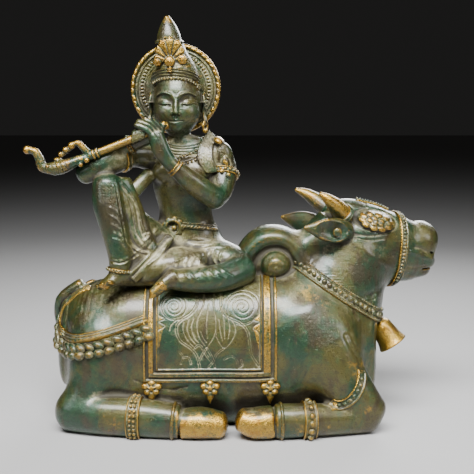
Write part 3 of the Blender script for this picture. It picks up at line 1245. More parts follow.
UP_Y = (0, 1, 0)
TORSO = dict(stations=[
    (-33, 5, 104, 25, 18), (-34, 4, 124, 24, 17), (-36, 2, 138, 20.5, 14.5), (-36.5, 1, 150, 18.6, 12.6),
    (-37.5, 0, 166, 21.5, 13.6), (-37.5, 0, 180, 23.5, 13), (-37.5, 1, 191, 22, 11), (-38, 1, 197, 17, 8.5)],
    up=UP_Y, caps=(4, 4))
LEFT_UPPER_ARM = dict(stations=[
    (-14.5, 1, 188.5, 11, 11), (-9.5, -3, 177, 9.6, 9.6), (-11.5, -11, 165, 8.6, 8.4),
    (-16, -17, 159.5, 8, 8)],
    up=UP_Y, caps=(9, 6))
LEFT_FOREARM = dict(stations=[(-15.5, -18, 160, 8, 7.6), (-29, -26, 170, 7.6, 7),
                              (-44, -30.5, 183.5, 5, 4.8)],
                    up=UP_Y, caps=(7, 3))
LEFT_HAND = dict(stations=[(-45, -31, 184.5, 4.8, 4.4), (-50.5, -32.5, 193, 6, 4.4),
                           (-54, -32.5, 203, 5.4, 4)],
                 up=UP_Y, caps=(2, 4))
RIGHT_UPPER_ARM = dict(stations=[
    (-58, 1, 187, 10, 11), (-71, -6, 189.5, 9, 9.4), (-83, -16.5, 186.5, 8.2, 9.8),
    (-94, -22, 181.8, 7.4, 9.4),
    (-104, -20.5, 177, 6.8, 7.6)], caps=(8, 6))
RIGHT_FOREARM = dict(stations=[(-104, -18.5, 178.5, 6, 6), (-86, -18, 190, 5.6, 5.6),
                               (-70, -19.5, 197.5, 4.2, 4.6)],
                     caps=(5, 3))
RIGHT_HAND = dict(stations=[(-70, -20, 197, 4, 4.8), (-63, -21, 201, 4.2, 5.6), (-57.5, -22, 203.5, 3.6, 5)],
                  caps=(2, 4))
RIGHT_THIGH = dict(stations=[(-42, 0, 120, 16, 16), (-59, -10, 129, 13.4, 13.6), (-74, -19, 144, 11.4, 11.6),
                             (-84, -26, 159, 10.4, 10.4), (-88, -29, 170, 9, 9)], up=UP_Y, caps=(6, 6))
RIGHT_SHIN = dict(stations=[(-88, -29.5, 170, 9.4, 8.6), (-87, -31, 158, 10.6, 9.8),
                            (-82.5, -32, 140, 9.8, 10),
                            (-79, -33.5, 122, 8.4, 8.4), (-80, -34, 110, 6.8, 6.6)], up=UP_Y, caps=(7, 4))
RIGHT_FOOT = dict(stations=[(-77, -33, 108.5, 6, 6), (-83.5, -36.5, 106, 6, 5),
                            (-90, -40, 102.5, 5.6, 3.2)], caps=(4, 2))
LEFT_THIGH = dict(stations=[(-26, 0, 119, 16, 14), (-9, -8, 115.5, 14, 12.6), (3, -15, 111.5, 11, 10.8)],
                  caps=(8, 6))
LEFT_SHIN = dict(stations=[(4, -20, 109.5, 10.4, 10.6), (-9, -30, 106.5, 9.8, 9.8),
                           (-26, -35, 105.5, 8.8, 8.8),
                           (-43, -37, 106, 6.8, 7)], caps=(8, 4))
LEFT_FOOT = dict(stations=[(-43, -38, 108, 5.6, 5), (-49.5, -41.5, 103.5, 4.8, 4.4),
                           (-56.5, -45, 98, 3.4, 3)],
                 up=UP_Y, caps=(4, 1.6))
THROAT = dict(stations=[(-39, 2, 190, 10.5, 9), (-40, 0.5, 200, 7.6, 7.6), (-41, -1, 209, 7.4, 8)], up=UP_Y,
              caps=(0.5, 4))
LAP = dict(stations=[(-79, -29, 107, 8, 7), (-62, -24, 110, 13, 11), (-44, -20, 113, 15, 13),
                     (-26, -20, 112, 13, 11)],
           caps=(6, 6))
DRAPE = dict(stations=[(-81, -25, 171, 9.5, 6), (-77, -25, 153, 12.5, 6.5), (-72, -27, 132, 15, 7),
                       (-67, -27, 114, 18, 7)],
             up=UP_Y, caps=(3, 4))
WEB = dict(stations=[(-77, -20, 157, 5, 3.2), (-69.5, -16, 166, 5, 3), (-61, -10, 175, 5, 3.2)], up=UP_Y)
SASH_END = dict(stations=[(-47, -20, 132, 3.6, 3), (-58, -31.5, 119, 4.0, 3), (-71, -36, 107, 4.4, 2.6)],
                up=UP_Y,
                power=4.0, caps=(2, 0.8))
FOLDS = [  # (width, depth, points (x, z)): below 0 stands out, above 0 is cut in
    (0.8, 0.9, [(-79.3, 172), (-75, 153), (-73.6, 143), (-71, 133.5), (-66, 127.2), (-60.5, 125)]),
    (0.7, -0.8, [(-80.5, 172), (-76.8, 153), (-75.2, 143), (-72.8, 132.5), (-67.5, 125.6), (-61.5, 123.6)]),
    (0.7, -0.8, [(-82, 170), (-79, 153), (-76.9, 141.3), (-74.8, 131.3), (-70.4, 125)]),
    (0.6, 0.5, [(-81.2, 171), (-77.9, 152), (-76, 141.8), (-73.8, 132), (-69, 125.2)]),
    (0.65, -0.7, [(-77.6, 171), (-73, 156), (-71.3, 146), (-69, 136.5), (-64.5, 129.6)]),
    (0.65, -0.7, [(-77, 170.5), (-71, 158), (-68.8, 148), (-67, 138.5), (-63.5, 132)]),
    (0.65, -0.7, [(-76.4, 170.5), (-69.4, 160), (-66.4, 152), (-64.6, 143), (-62, 136)]),
    (0.6, 0.6, [(-77.2, 169), (-72, 157), (-70, 147), (-68, 137.5), (-64, 130.8)]),
    (0.6, 0.6, [(-76.8, 168.5), (-70.2, 159), (-67.5, 150), (-65.8, 140.8), (-62.6, 134)]),
    (0.7, -0.7, [(-84.5, 155.6), (-79.5, 152), (-76.8, 147)]),
    (0.7, -0.7, [(-83.4, 144.2), (-78, 140.6), (-75.4, 136.2)]),
    (0.7, -0.7, [(-82.8, 134.8), (-76.8, 132.4), (-73.2, 129)]),
    (0.6, -0.6, [(-84, 150), (-80, 147.4), (-77.4, 143)]),
    (0.6, -0.6, [(-82.6, 139), (-78.2, 136.2), (-75.2, 132.4)]),
    (0.65, -0.7, [(-84.4, 120.4), (-77.6, 119.4), (-71, 122.6), (-66, 126)]),
    (0.65, -0.7, [(-84.2, 117.6), (-77, 117), (-71, 119.6), (-66.5, 122)]),
    (0.6, 0.6, [(-84.4, 119), (-77.4, 118.2), (-70, 121.4)]),
    (0.8, -0.8, [(-41.6, 118.1), (-36.1, 120.2), (-25.2, 123.6), (-14.3, 125.7), (-0.7, 126.4)]),
    (0.7, -0.7, [(-39.6, 118.8), (-41.6, 114), (-40.2, 108.4), (-36.8, 104.3)]),
    (0.7, -0.7, [(-33.4, 120.2), (-35.5, 115.3), (-34.8, 111.2), (-31.4, 107.1)]),
    (0.7, -0.7, [(-28, 121.5), (-31.4, 116.7), (-31.8, 112.6), (-28.6, 108.4)]),
    (0.7, -0.7, [(-21.8, 122.9), (-25.2, 118.8), (-25.2, 114), (-21.1, 109.1)]),
    (0.7, -0.7, [(-17.7, 122.9), (-20.5, 118.8), (-19.8, 114), (-15, 108.4)]),
    (0.7, -0.7, [(-14.3, 123.6), (-16.4, 118.8), (-14.3, 114), (-7.5, 107.1)]),
    (0.7, -0.7, [(-10.9, 122.2), (-12.3, 118.1), (-8.9, 112.6), (-2, 107.8)]),
    (0.7, 0.6, [(-34, 129.4), (-24, 128.4), (-12, 129.6), (-4, 126.5)]),
    (0.7, -0.7, [(-30, 126.8), (-20, 127), (-8, 128)]),
    (0.8, 0.6, [(-52, 142), (-58, 138), (-64, 137)]), (0.8, -0.7, [(-53, 139.6), (-59, 135), (-63, 131)]),
    (0.8, 0.6, [(-51, 136), (-57, 131), (-60, 127)]), (0.7, -0.7, [(-48, 128), (-52, 122), (-60, 116)]),
    (0.6, 0.6, [(-45.5, 133), (-57.2, 121), (-70.2, 108.4)]),
    (0.6, 0.6, [(-48.5, 132.4), (-59.8, 120.4), (-72.2, 107)]),
    (0.6, 0.6, [(-47, 132.6), (-58.4, 120.7), (-71.2, 107.8)]),
    (1.0, 0.5, [(-33, 141), (-27, 141.6), (-20, 143)])]
HAND_LINES = [(0.45, 0.7, [(x + 1.4 * i, z + 2.1 * i) for x, z in ((-53.7, 201.8), (-59, 208.4), (-66, 211))])
              for i in range(3)]
BREASTS = [((x, -10.5, 177), (9, 5.5, 7)) for x in (-50, -27)]
SCARF_EDGES = ([(-19.6, -2, 204.4), (-25.4, -10.5, 194), (-26, -14, 185), (-20.5, -14.8, 177.2)],
               [(-16.6, -2, 201.6), (-17.6, -9.5, 194), (-17.4, -13.5, 185.2), (-14.6, -14, 178.2)])


@functools.cache
def player_clay():
    """The seated body, without its head."""
    clay = Clay((-113, -50, 92), (17, 24, 214), 0.75)
    clay.add(limb(TORSO)).add(limb(THROAT), blend=5)
    clay.add(*(Egg(*breast) for breast in BREASTS), blend=5)
    clay.add(limb(RIGHT_THIGH), limb(LEFT_THIGH), blend=5).add(limb(LAP), blend=4)
    clay.add(limb(RIGHT_SHIN), limb(LEFT_SHIN), limb(DRAPE), blend=3)
    clay.add(limb(WEB), blend=2).add(limb(SASH_END), blend=0.9)
    clay.add(limb(RIGHT_FOOT), limb(LEFT_FOOT), blend=2.5)
    clay.add(limb(LEFT_UPPER_ARM), limb(RIGHT_UPPER_ARM), blend=3.5)
    clay.add(limb(LEFT_FOREARM), limb(RIGHT_FOREARM), limb(LEFT_HAND), limb(RIGHT_HAND), blend=2)
    hands_and_feet(clay)
    clay.add(Egg((-51.3, -12.6, 171), (1.5, 1.6, 1.5)), Egg((-25.8, -12.4, 171), (1.4, 1.2, 1.4)), blend=0.8)
    scarf(clay)
    clay.engrave(FOLDS, 6.0).engrave(HAND_LINES, -27.0)
    return clay


def hands_and_feet(clay):
    """Fingers on the flute and toes."""
    for i in range(4):
        shift = np.array((1.1, 0, 1.75)) * (i - 1.5) * 1.25
        finger = ((-52, -32.5, 203), (-58, -34.6, 210), (-65, -33.2, 213))
        clay.add(thread(1.75, *(np.array(place) + shift for place in finger)), blend=0.5)
    clay.add(thread(2.5, (-54, -31, 204), (-51.5, -31.4, 207.5), (-49.2, -30.4, 210)), blend=1.0)
    for i in range(4):
        shift = np.array((2.25, -0.3, 0.9)) * (i - 1.5)
        finger = ((-64, -21, 202), (-64.5, -25.5, 206.6), (-65.5, -31, 206), (-66, -32.4, 200.5))
        clay.add(thread(1.6, *(np.array(place) + shift for place in finger)), blend=0.5)
    for i in range(5):
        place = np.array((-86.6, -43.5, 104.4)) + np.array((-2.05, 1.5, -1.1)) * (i - 1.0)
        clay.add(Egg(place, (3.2 if i else 3.6, 1.5 if i else 2.0, 1.7), (0, 22, 52)), blend=0.5)
    for i in range(5):
        place = np.array((-53.2, -45.6, 101.2)) + np.array((-1.5, -0.2, -1.7)) * (i - 1.5)
        clay.add(Egg(place, (1.5 if i else 1.9, 1.6, 2.9), (0, 30, 0)), blend=0.5)


def scarf(clay):
    """The folded scarf on the left shoulder and the shoulder's gold cap and leaf."""
    inner, outer = (np.array(edge) for edge in SCARF_EDGES)
    pleat = lambda share: inner * (1 - share) + outer * share
    for share in np.linspace(0, 1, 6):
        clay.add(thread(1.25, *pleat(share)), blend=0.4)
    clay.engrave([(0.5, 0.7, pleat(share)[:, ::2]) for share in (0.1, 0.3, 0.5, 0.7, 0.9)], 0.0)
    clay.add(Egg((-12.6, -5, 197.6), (4.6, 6.5, 3.4), (0, 40, 0)), blend=0.8)
    clay.engrave([(0.5, 0.6, [(-17.6, 199.4), (-12.4, 192.6)]), (0.5, 0.6, [(-11.6, 203), (-7.4, 197)])], 0.0)
    clay.add(Egg((-8.4, -7.6, 187.6), (6.2, 3.4, 9.2), (0, -8, 22)), blend=1.0)
    clay.add(Egg((-7.6, -11.2, 183.6), (2.6, 1.6, 4.2), (0, -14, 20)), blend=0.8)


def player_looks(places):
    """Gold on toes and fingers and on the shoulder cap, and the pale film on the drapery."""
    gilt = spots_near(places, [(-90, -43.5, 101.5, 6.5), (-94, -42, 100, 6), (-55.5, -47, 98, 6),
                               (-52.5, -46, 101.5, 5),
                               (-49.5, -31, 209.5, 3), (-13, -7, 199, 5.5), (-8, -12, 183, 2.5)])
    pale = spots_near(places, [(-66, -30, 130, 12), (-58, -26, 116, 14), (-44, -18, 122, 12),
                               (-38, -12, 190, 15), (-66, -14, 165, 7), (-30, -30, 114, 9),
                               (-21, -12, 190, 12), (-9, -9, 188, 8), (-60, -33, 208, 9),
                               (-80, -24, 186, 10)])
    lines = np.zeros(len(places))
    flat = (places * (1, 0, 1)).astype(np.float32)
    for width, depth, stroke in FOLDS:
        if depth > 0:
            continue
        line = front_line(stroke)
        boxed = ((flat > line.min(0) - 2) & (flat < line.max(0) + 2))[:, [0, 2]].all(1)
        near = np.where(boxed & (places[:, 1] < 2))[0]
        lines[near] = np.maximum(lines[near], stroke_mark(flat[near], line, width * 0.85))
    lines *= np.clip(-2 * player_clay().normal(places)[:, 1] - 0.6, 0, 1)
    torso = spots_near(places, [(-36, -14, 150, 13), (-30, -12, 160, 12), (-44, -12, 158, 10),
                                (-26, -8, 170, 9)])
    return gilt * 1.15 - 0.3 + lines * 0.12, pale * 0.5 + lines * 0.5 - torso * 0.25


HEAD_AT = np.array((-41.5, 0, 0))
CROWN_CAP = dict(stations=[(-42, 0.5, 240.5, 16.6, 15.6), (-43, -0.5, 248, 14.4, 13.8),
                           (-45, -1, 257, 10.8, 10.6),
                           (-46.5, -1, 266, 8.8, 8.8)], up=UP_Y, caps=(2, 1))
CONE = dict(stations=[(-46.8, -1, 265.4, 8.5, 8.5), (-47.1, -1, 270, 8.1, 8.1), (-47.5, -1, 275.5, 6.2, 6.2),
                      (-47.9, -1, 280, 3.9, 3.9), (-48.2, -1, 282.6, 2.2, 2.2)], up=UP_Y, caps=(1, 1.4))


def both(x, y, z):
    """A place on each side of the face's middle."""
    return [HEAD_AT + (side * x, y, z) for side in (-1, 1)]


@functools.cache
def head_clay():
    """A calm, evenly built face with lowered lids, long ears and a tall crown."""
    clay = Clay((-66, -26, 198), (-16, 24, 286), 0.44)
    middle = lambda y, z: HEAD_AT + (0, y, z)
    clay.add(Egg(middle(-2.3, 226), (16.8, 16.4, 20.8))).add(Egg(middle(-6.3, 214.4), (12.2, 12, 10)),
                                                             blend=9)
    clay.add(limb(THROAT), blend=4)
    clay.add(*(Egg(p, (6.0, 5.4, 6.2)) for p in both(8.2, -11.2, 217.6)), blend=5)
    clay.add(Egg(middle(-15.4, 207.8), (4.2, 3.2, 3.2)), blend=3)
    clay.cut(*(Egg(p, (5.8, 3.0, 3.0)) for p in both(7.2, -20.3, 225.4)), blend=3.5)
    for side in (-1, 1):
        place = lambda x, y, z: HEAD_AT + (side * x, y, z)
        clay.add(thread(0.95, place(1.8, -17.9, 228.2), place(4.6, -18.2, 230.6), place(9.4, -17.0, 231.2),
                        place(13.6, -13.4, 228.8), end=0.5), blend=1.4)
        clay.add(Egg(place(7.0, -13.4, 224.0), (4.9, 4.3, 3.3)), blend=0.8)
        clay.add(thread(0.6, place(2.6, -16.4, 223.4), place(5.2, -18.0, 223.9), place(8.6, -17.7, 223.9),
                        place(12.2, -14.2, 224.2)), blend=0.5)
        clay.cut(thread(0.34, place(2.9, -16.9, 222.6), place(5.4, -18.2, 222.5), place(8.4, -17.9, 222.6),
                        place(11.6, -14.8, 223.3)), blend=0.3)
        clay.add(thread(0.5, place(3.4, -16.3, 221.6), place(6.0, -17.5, 221.0), place(9.0, -16.9, 221.3),
                        place(11.6, -14.4, 222.6)), blend=0.5)
        clay.add(Egg(place(2.3, -18.9, 217.2), (1.5, 1.9, 1.35)), blend=0.9)
        clay.cut(Egg(place(1.35, -19.8, 216.1), (0.6, 0.9, 0.5)), blend=0.4)
        clay.add(thread(1.0, place(0.0, -18.6, 213.0), place(1.9, -18.7, 213.5), place(5.3, -16.4, 212.8),
                        end=0.45), blend=0.6)
        clay.add(thread(1.3, place(0.0, -18.2, 210.6), place(2.4, -17.9, 210.8), place(4.8, -16.6, 211.9),
                        end=0.45), blend=0.6)
        ear(clay, side)
    clay.add(Limb((*middle(-16.8, 229), 1.5, 1.4), (*middle(-19.4, 223), 1.6, 1.6),
                  (*middle(-20.9, 218), 2.0, 1.7),
                  up=UP_Y, caps=(2, 1.4)), blend=1.3)
    clay.cut(thread(0.3, middle(-19.5, 214.9), middle(-19.2, 213.8)), blend=0.7)
    lips = ((-4.9, -17.3, 212.3), (-2, -19, 212.0), (0, -19.3, 211.8), (2, -19, 212.0), (4.9, -17.3, 212.3))
    clay.cut(thread(0.26, *(HEAD_AT + place for place in lips)), blend=0.4)
    clay.add(Egg((-41, 7.6, 227), (13.4, 7.8, 15)), blend=2)
    crown(clay)
    return clay


def ear(clay, side):
    """A long ear with a rim, a hollow and a stretched lobe."""
    place = lambda x, y, z: HEAD_AT + (side * x, y, z)
    clay.add(Egg(place(17.4, 0.2, 226.4), (2.4, 4.6, 6.0), (0, side * 8, side * 12)), blend=0.8)
    clay.cut(Egg(place(19.6, -1.6, 226.8), (1.9, 2.6, 3.9)), blend=0.6)
    clay.add(thread(0.9, place(18.2, -3.4, 229.4), place(18.8, -4.4, 225.6), place(18.4, -3.6, 221.6)),
             blend=0.6)
    clay.add(Limb((*place(18.0, -1, 221.6), 1.9, 2.6), (*place(18.9, -2.0, 215.4), 1.5, 2.3),
                  (*place(18.9, -2.8, 210.6), 1.8, 2.4), up=UP_Y, caps=(2, 2)), blend=0.8)
    clay.cut(Egg(place(19.6, -3.4, 216.4), (1.2, 1.4, 3.2)), blend=0.6)


def crown(clay):
    """The cap over the hair, the fan with its rosettes and the pointed top."""
    clay.add(limb(CROWN_CAP), blend=1.6).add(limb(CONE), blend=0.6)
    clay.add(Hoop((-46.7, -1, 266), (9.2, 9.2), 0.9), blend=0.4)
    clay.add(Egg((-45.7, -11.6, 258.6), (9.6, 1.8, 9.2), (12, 0, 0)), blend=0.4)
    for angle in np.radians((14, 39, 65, 90, 115, 141, 166)):
        reach = 10.4 + 5.4 * math.sin(angle) ** 2
        away, rise = 0.56 * reach * math.cos(angle), 0.56 * reach * math.sin(angle)
        place = (-45.7 + away, -13.0 + 0.035 * away ** 2 + 0.2 * rise, 253.0 + rise)
        clay.add(Egg(place, (0.47 * reach, 2.2, 2.7), (0, -math.degrees(angle), 0)), blend=0.2)
    clay.engrave([(0.42, 1.3, [(-45.7 + r * math.cos(a), 253.0 + r * math.sin(a)) for r in (4, 9, 15)])
                  for a in np.radians((27, 52, 77, 103, 128, 153))], -8.0)
    for x, y, z, r in ((-54.2, -11.2, 252.4, 3.2), (-45.8, -14.4, 252.2, 3.6), (-37.2, -12.6, 253.6, 3.4)):
        clay.add(Egg((x, y, z), (r, 2.3, r)), blend=0.5)
        clay.cut(Hoop((x, y - 2.1, z), (r * 0.62, r * 0.62), 0.42, (90, 0, 0)), blend=0.3)
        clay.add(Egg((x, y - 1.5, z), (1.2, 1.5, 1.2)), blend=0.3)
    clay.add(Egg((-45.2, -15.4, 246.8), (1.9, 1.9, 1.9)), blend=0.6)


def halo_mesh():
    """The halo as one turned disc with a rope rim and a ring of small teeth."""
    centre, around, strands, tooth_count = np.array((-43.5, 15.0, 234.5)), 560, 21, 62
    reach = np.concatenate([np.linspace(1.0, 20, 14), np.arange(20.3, drawn("halo_radius") + 0.01, 0.3)])
    angle = np.linspace(0, 2 * np.pi, around, endpoint=False)
    r, a = np.meshgrid(reach, angle, indexing="ij")
    rim = np.sqrt(np.clip(1 - ((r - 30.2) / 1.85) ** 2, 0, 1))
    rope = rim * (1.5 + 0.7 * np.abs(np.sin(a * strands + (r - 30) * 0.35)) ** 0.45)
    ridge = 0.8 * np.sqrt(np.clip(1 - ((r - 26.9) / 0.6) ** 2, 0, 1))
    teeth = np.clip(1 - np.abs(r - 23.9) / 1.3, 0, 1) * (0.5 + 0.5 * np.cos(a * tooth_count)) ** 1.5 * 1.1
    small = 0.5 * np.clip(1 - np.abs(r - 21.6) / 0.5, 0, 1)
    raised = 0.6 + rope + ridge + teeth + small + 0.5 * (r > 27.4) * (r < 28.4)
    front = np.stack([r * np.cos(a), -(raised + 1.2), r * np.sin(a)], -1)
    behind = np.stack([r * np.cos(a), 1.4 + 0.9 * rim, r * np.sin(a)], -1)[::-1]
    rows = np.concatenate([front[:1] * (0.02, 1, 0.02), front, behind, behind[-1:] * (0.02, 1, 0.02)])
    plain, worn = np.zeros((1, around)), rim * 0.5 * (0.55 + 0.45 * np.sin(a * strands)) + teeth * 0.1
    gilt = np.concatenate([plain, worn, (rim * 0.3)[::-1], plain]).ravel()
    return rows.reshape(-1, 3) + centre, grid_faces(len(rows), around, False, True), gilt


class MakePlayer(bpy.types.Operator):
    """Builds the seated player's body, head, crown and halo"""

    bl_idname = "bronze.player"
    bl_label = "Flute Player"

    def execute(self, context):
        patina, _ = materials()
        places, faces = player_clay().skin()
        below_chin = places[faces][:, :, 2].min(1) < 206.5
        by_hands = places[faces[:, 0]][:, 0] < -47
        places, faces = used_only(places, faces[below_chin | by_hands])
        gilt, pale = player_looks(places)
        piece("player_body", "flute_player", places, faces, patina, gilt=gilt, dust=pale, crest=1.5,
              clay=player_clay())
        places, faces = head_clay().skin()
        places, faces = used_only(places, faces[places[faces][:, :, 2].max(1) > 199])
        x, y, z = places.T
        fan = (z > 248.5) & (z < 269.5) & (y < -8.6)
        gilt = fan * 0.45 + (z > 278.5) * 0.3 - 0.7 * (z < 243) * np.clip(17.6 - np.abs(x + 41.5), 0, 1)
        dust = 0.3 * np.clip(np.abs(x + 41.5) - 17.2, 0, 1) + 0.15 * (z > 243) - 0.05
        piece("player_head", "flute_player", places, faces, patina, gilt=gilt, dust=dust, clay=head_clay())
        places, faces, gilt = halo_mesh()
        piece("halo", "flute_player", places, outward(places, faces), patina, gilt=gilt, dust=0.08)
        return {"FINISHED"}


class MakeJewellery(bpy.types.Operator):
    """Builds the player's diadem, necklaces, armlets, belt and bracelets"""

    bl_idname = "bronze.jewellery"
    bl_label = "Jewellery"

    def execute(self, context):
        self.diadem()
        self.bands()
        self.chest()
        self.belt()
        return {"FINISHED"}

    def put(self, name, clay, path, normals, section, closed=True, gilt=0.25, dust=0.35):
        places, faces = band(clay, path, normals, section, closed, 1.5)
        piece(name, "flute_player", places, faces, materials()[0], gilt=gilt, dust=dust)

    def diadem(self):
        patina, _ = materials()
        clay = head_clay()
        path, normals = ring(clay, np.array((-42.2, 0.5, 238.2)), (0.06, 0.36, 0.93), 24, 0.5)
        section = ribs(7.6, (-2.6, 0.5, 1.0), (-0.6, 0.8, 1.7), (1.4, 0.8, 1.9), (3.2, 0.6, 1.8), base=0.4)
        self.put("diadem", clay, path, normals, section, gilt=-0.25, dust=0.2)
        line = beside(clay, path, normals, -3.3, True)
        row("diadem_beads", "flute_player", spaced(*line, 2.3, True, 0.6), ball((1.0, 1.5, 1.0), 4, 4, 0.3),
            patina)
        for side, x in (("right", -60.6), ("left", -22.3)):
            hoop = Clay((x - 6, -9, 202), (x + 6, 4, 216), 0.36)
            hoop.add(Hoop((x, -3, 208.4), (2.6, 3.2), 1.1, (90, 0, 60)), blend=0.4)
            hoop.add(Egg((x, -4.4, 205.4), (2.0, 1.8, 2.0)), blend=0.4)
            places, faces = hoop.skin()
            piece(f"earring_{side}", "flute_player", places, faces, patina, gilt=0.3, dust=0.2)

    def bands(self):
        patina, brass = materials()
        for name, shape, t, reach, width, gap in (
                ("left_armlet", LEFT_UPPER_ARM, 1.18, 14, 4.6, 3.0),
                ("left_bracelet", LEFT_FOREARM, 1.78, 10, 3.4, 0),
                ("right_armlet", RIGHT_UPPER_ARM, 1.66, 14, 4.2, 0),
                ("right_anklet", RIGHT_SHIN, 3.72, 11, 2.6, 2.0),
                ("right_bracelet", RIGHT_FOREARM, 1.75, 9, 3.4, 2.0)):
            shape = limb(shape)
            clay = lone(shape, 0.6)
            path, normals = limb_ring(clay, shape, t, reach)
            self.put(name, clay, path, normals, rimmed(width, 0.6, 1.3, 0.7))
            if gap:
                row(name + "_beads", "flute_player", spaced(path, normals, gap, True, 1.0),
                    ball((gap * 0.42, 1.1, 1.1), 5, 8), brass if name == "left_armlet" else patina)
        spots, normals = facing_path(player_clay(), [(-12.4, 178.4), (-8.4, 176.4), (-4.6, 173.4)])
        row("armlet_rosettes", "flute_player", spaced(spots, normals, 4.0, False, 0.8), ball((1.9, 1.9, 1.5)),
            brass)

    def chest(self):
        patina, _ = materials()
        clay = lone(limb(TORSO), 0.7).add(limb(THROAT), blend=5)
        clay.add(*(Egg(*breast) for breast in BREASTS), blend=5)
        necklaces = ((0.62, 199.4, 15), (0.60, 198.0, 17), (0.58, 196.4, 20), (0.56, 194.6, 23))
        for k, (tilt, height, reach) in enumerate(necklaces):
            path, normals = ring(clay, np.array((-40, -1.5, height)), (0, -tilt, 1), reach, 0.5)
            front = path[:, 1] < 4
            order = np.roll(np.arange(len(path)), -int(np.argmax(~front & np.roll(front, -1))) - 1)
            order = order[front[order]]
            self.put(f"necklace_{k}", clay, path[order], normals[order], ribs(1.4, (0, 0.55, 0.65), base=0.1),
                     False, gilt=-0.6, dust=0.8)
        for k, (flat, gap, size) in enumerate((
                ([(-50, 187), (-46, 185.8), (-41.2, 186.6), (-33.6, 188.8), (-27.7, 192)], 2.3, 1.0),
                ([(-48, 183.6), (-42, 182.4), (-37, 182.6), (-32.8, 183.6), (-27.6, 185.6)], 2.6, 1.15))):
            path, normals = facing_path(clay, flat)
            row(f"chest_beads_{k}", "flute_player", spaced(path, normals, gap, False, 0.3),
                ball((size, size, 0.95), 5, 8), patina)
            self.put(f"chest_cord_{k}", clay, *beside(clay, path, normals, 1.7),
                     ribs(1.2, (0, 0.5, 0.7), base=0.1), False, gilt=-0.6, dust=0.7)

    def belt(self):
        patina, _ = materials()
        clay = player_clay()
        path, normals = ring(clay, np.array((-35, 2, 135.2)), (0.05, 0.28, 1), 38, 0.7)
        order = np.where((path[:, 1] < -2) & (path[:, 0] > -40))[0]
        if np.any(np.diff(order) > 1):
            order = np.roll(order, -int(np.argmax(np.diff(order) > 1)) - 1)
        row("belt_rope", "flute_player", spaced(path[order], normals[order], 2.4, False, 0.5),
            ball((2.3, 1.1, 1.2), 6, 8, lean=0.55), patina)
        line = beside(clay, path[order], normals[order], 2.3)
        row("belt_cord", "flute_player", spaced(*line, 1.6, False, 0.2),
            ball((1.1, 0.6, 0.7), 5, 6, lean=0.5),
            patina)
        spot = clay.land(np.array([[-44.6, -60.0, 138.4]]), np.array([[0.0, 1, 0]]))
        knot = Clay((-56, -30, 126), (-33, -8, 150), 0.42)
        place = np.array((-44.6, spot[0, 1] - 0.6, 138.4))
        for degrees in range(0, 360, 40):
            turn = math.radians(degrees)
            lobe = place + (6.0 * math.cos(turn), -0.3, 6.0 * math.sin(turn))
            knot.add(Egg(lobe, (2.0, 1.6, 2.3), (0, -degrees, 0)), blend=0.5)
        knot.add(Hoop(place + (0, -1.0, 0), (5.0, 5.0), 1.3, (90, 0, 0)), blend=0.4)
        knot.cut(Egg(place + (0, -2.4, 0), (4.2, 2.6, 4.2)), blend=0.5)
        knot.add(Egg(place + (0.9, -0.4, -0.2), (2.2, 2.4, 2.2)), blend=0.3)
        places, faces = knot.skin()
        piece("belt_rosette", "flute_player", places, faces, patina, gilt=-0.1, dust=0.2, clay=knot)


class MakeFlute(bpy.types.Operator):
    """Builds the flute with its beast's head"""

    bl_idname = "bronze.flute"
    bl_label = "Flute"

    def execute(self, context):
        _, brass = materials()
        clay = Clay((-147, -40, 172), (-42, -18, 216), 0.46)
        clay.add(Limb((-47, -24, 209.6, 2.6, 2.6), (-73, -27, 199.5, 2.6, 2.6), (-98.7, -30, 189.2, 2.8, 2.8),
                      (-106, -30.8, 186.4, 3.6, 3.4), (-112, -31.5, 184, 4.2, 4.0),
                      (-118, -32, 181.8, 4.8, 4.8),
                      (-126, -32, 180.4, 4.0, 4.2), caps=(1, 3)), blend=0.5)
        for place in ((-96.5, -29.6, 190.1), (-94, -29.3, 191.1)):
            clay.add(Hoop(place, (2.9, 2.9), 0.8, (0, 68, 6)), blend=0.3)
        clay.add(thread(3.8, (-123, -32, 180), (-130, -32, 181.8), (-132.4, -32, 187.4), (-135, -32, 192),
                        (-139, -32, 193.4),
                        end=2.2), Egg((-140.3, -32, 193.4), 2.9), blend=0.7)
        clay.add(thread(2.6, (-99, -30, 189.5), (-103, -30.5, 194.5), (-106.4, -31, 197.8),
                        (-109, -31, 197.2), end=1.7), blend=0.8)
        clay.add(Egg((-110.8, -31, 196.2), 2.5), Egg((-114.8, -31, 193.2), 2.2),
                 Egg((-118.2, -31, 190.4), 1.8),
                 thread(1.0, (-110, -31, 195.6), (-114.5, -31, 191.6), (-118, -31, 189.2)), blend=0.6)
        clay.add(Egg((-119.5, -31, 186.2), (3.6, 2.6, 1.9), (0, 20, 0)), Egg((-126.4, -35.4, 182.4), 1.4),
                 Egg((-126.4, -28.6, 182.4), 1.4), blend=0.6)
        clay.add(Egg((-100.5, -33, 186.4), 1.9), Egg((-104.6, -33.4, 183.6), 1.7), blend=0.5)
        clay.cut(Egg((-127.5, -32, 176.6), (5, 6, 1.0), (0, 10, 0)), blend=0.8)
        for k in range(5):
            place, radius = (-108.4 - 3.0 * k, -31.3, 185.4 - 1.1 * k), 4.6 + 0.14 * k
            clay.cut(Hoop(place, radius, 0.3, (0, 68, 5)), blend=0.3)
        for k in range(5):
            t = 0.2 + 0.11 * k
            place = np.array((-47, -24, 209.6)) * (1 - t) + np.array((-98.7, -30, 189.2)) * t
            clay.cut(Egg(place + (0, -1.0, 2.6), (0.8, 0.8, 1.0)), blend=0.3)
        places, faces = clay.skin()
        worn = spots_near(places, [(-140, -32, 193, 4), (-111, -31, 196, 3), (-100, -33, 186, 3)])
        gilt = 0.04 + 0.12 * (places[:, 0] > -100) + 0.4 * worn
        piece("flute_skin", "flute", places, faces, brass, gilt=gilt, dust=-0.1, clay=clay)
        return {"FINISHED"}


# Operators and settings

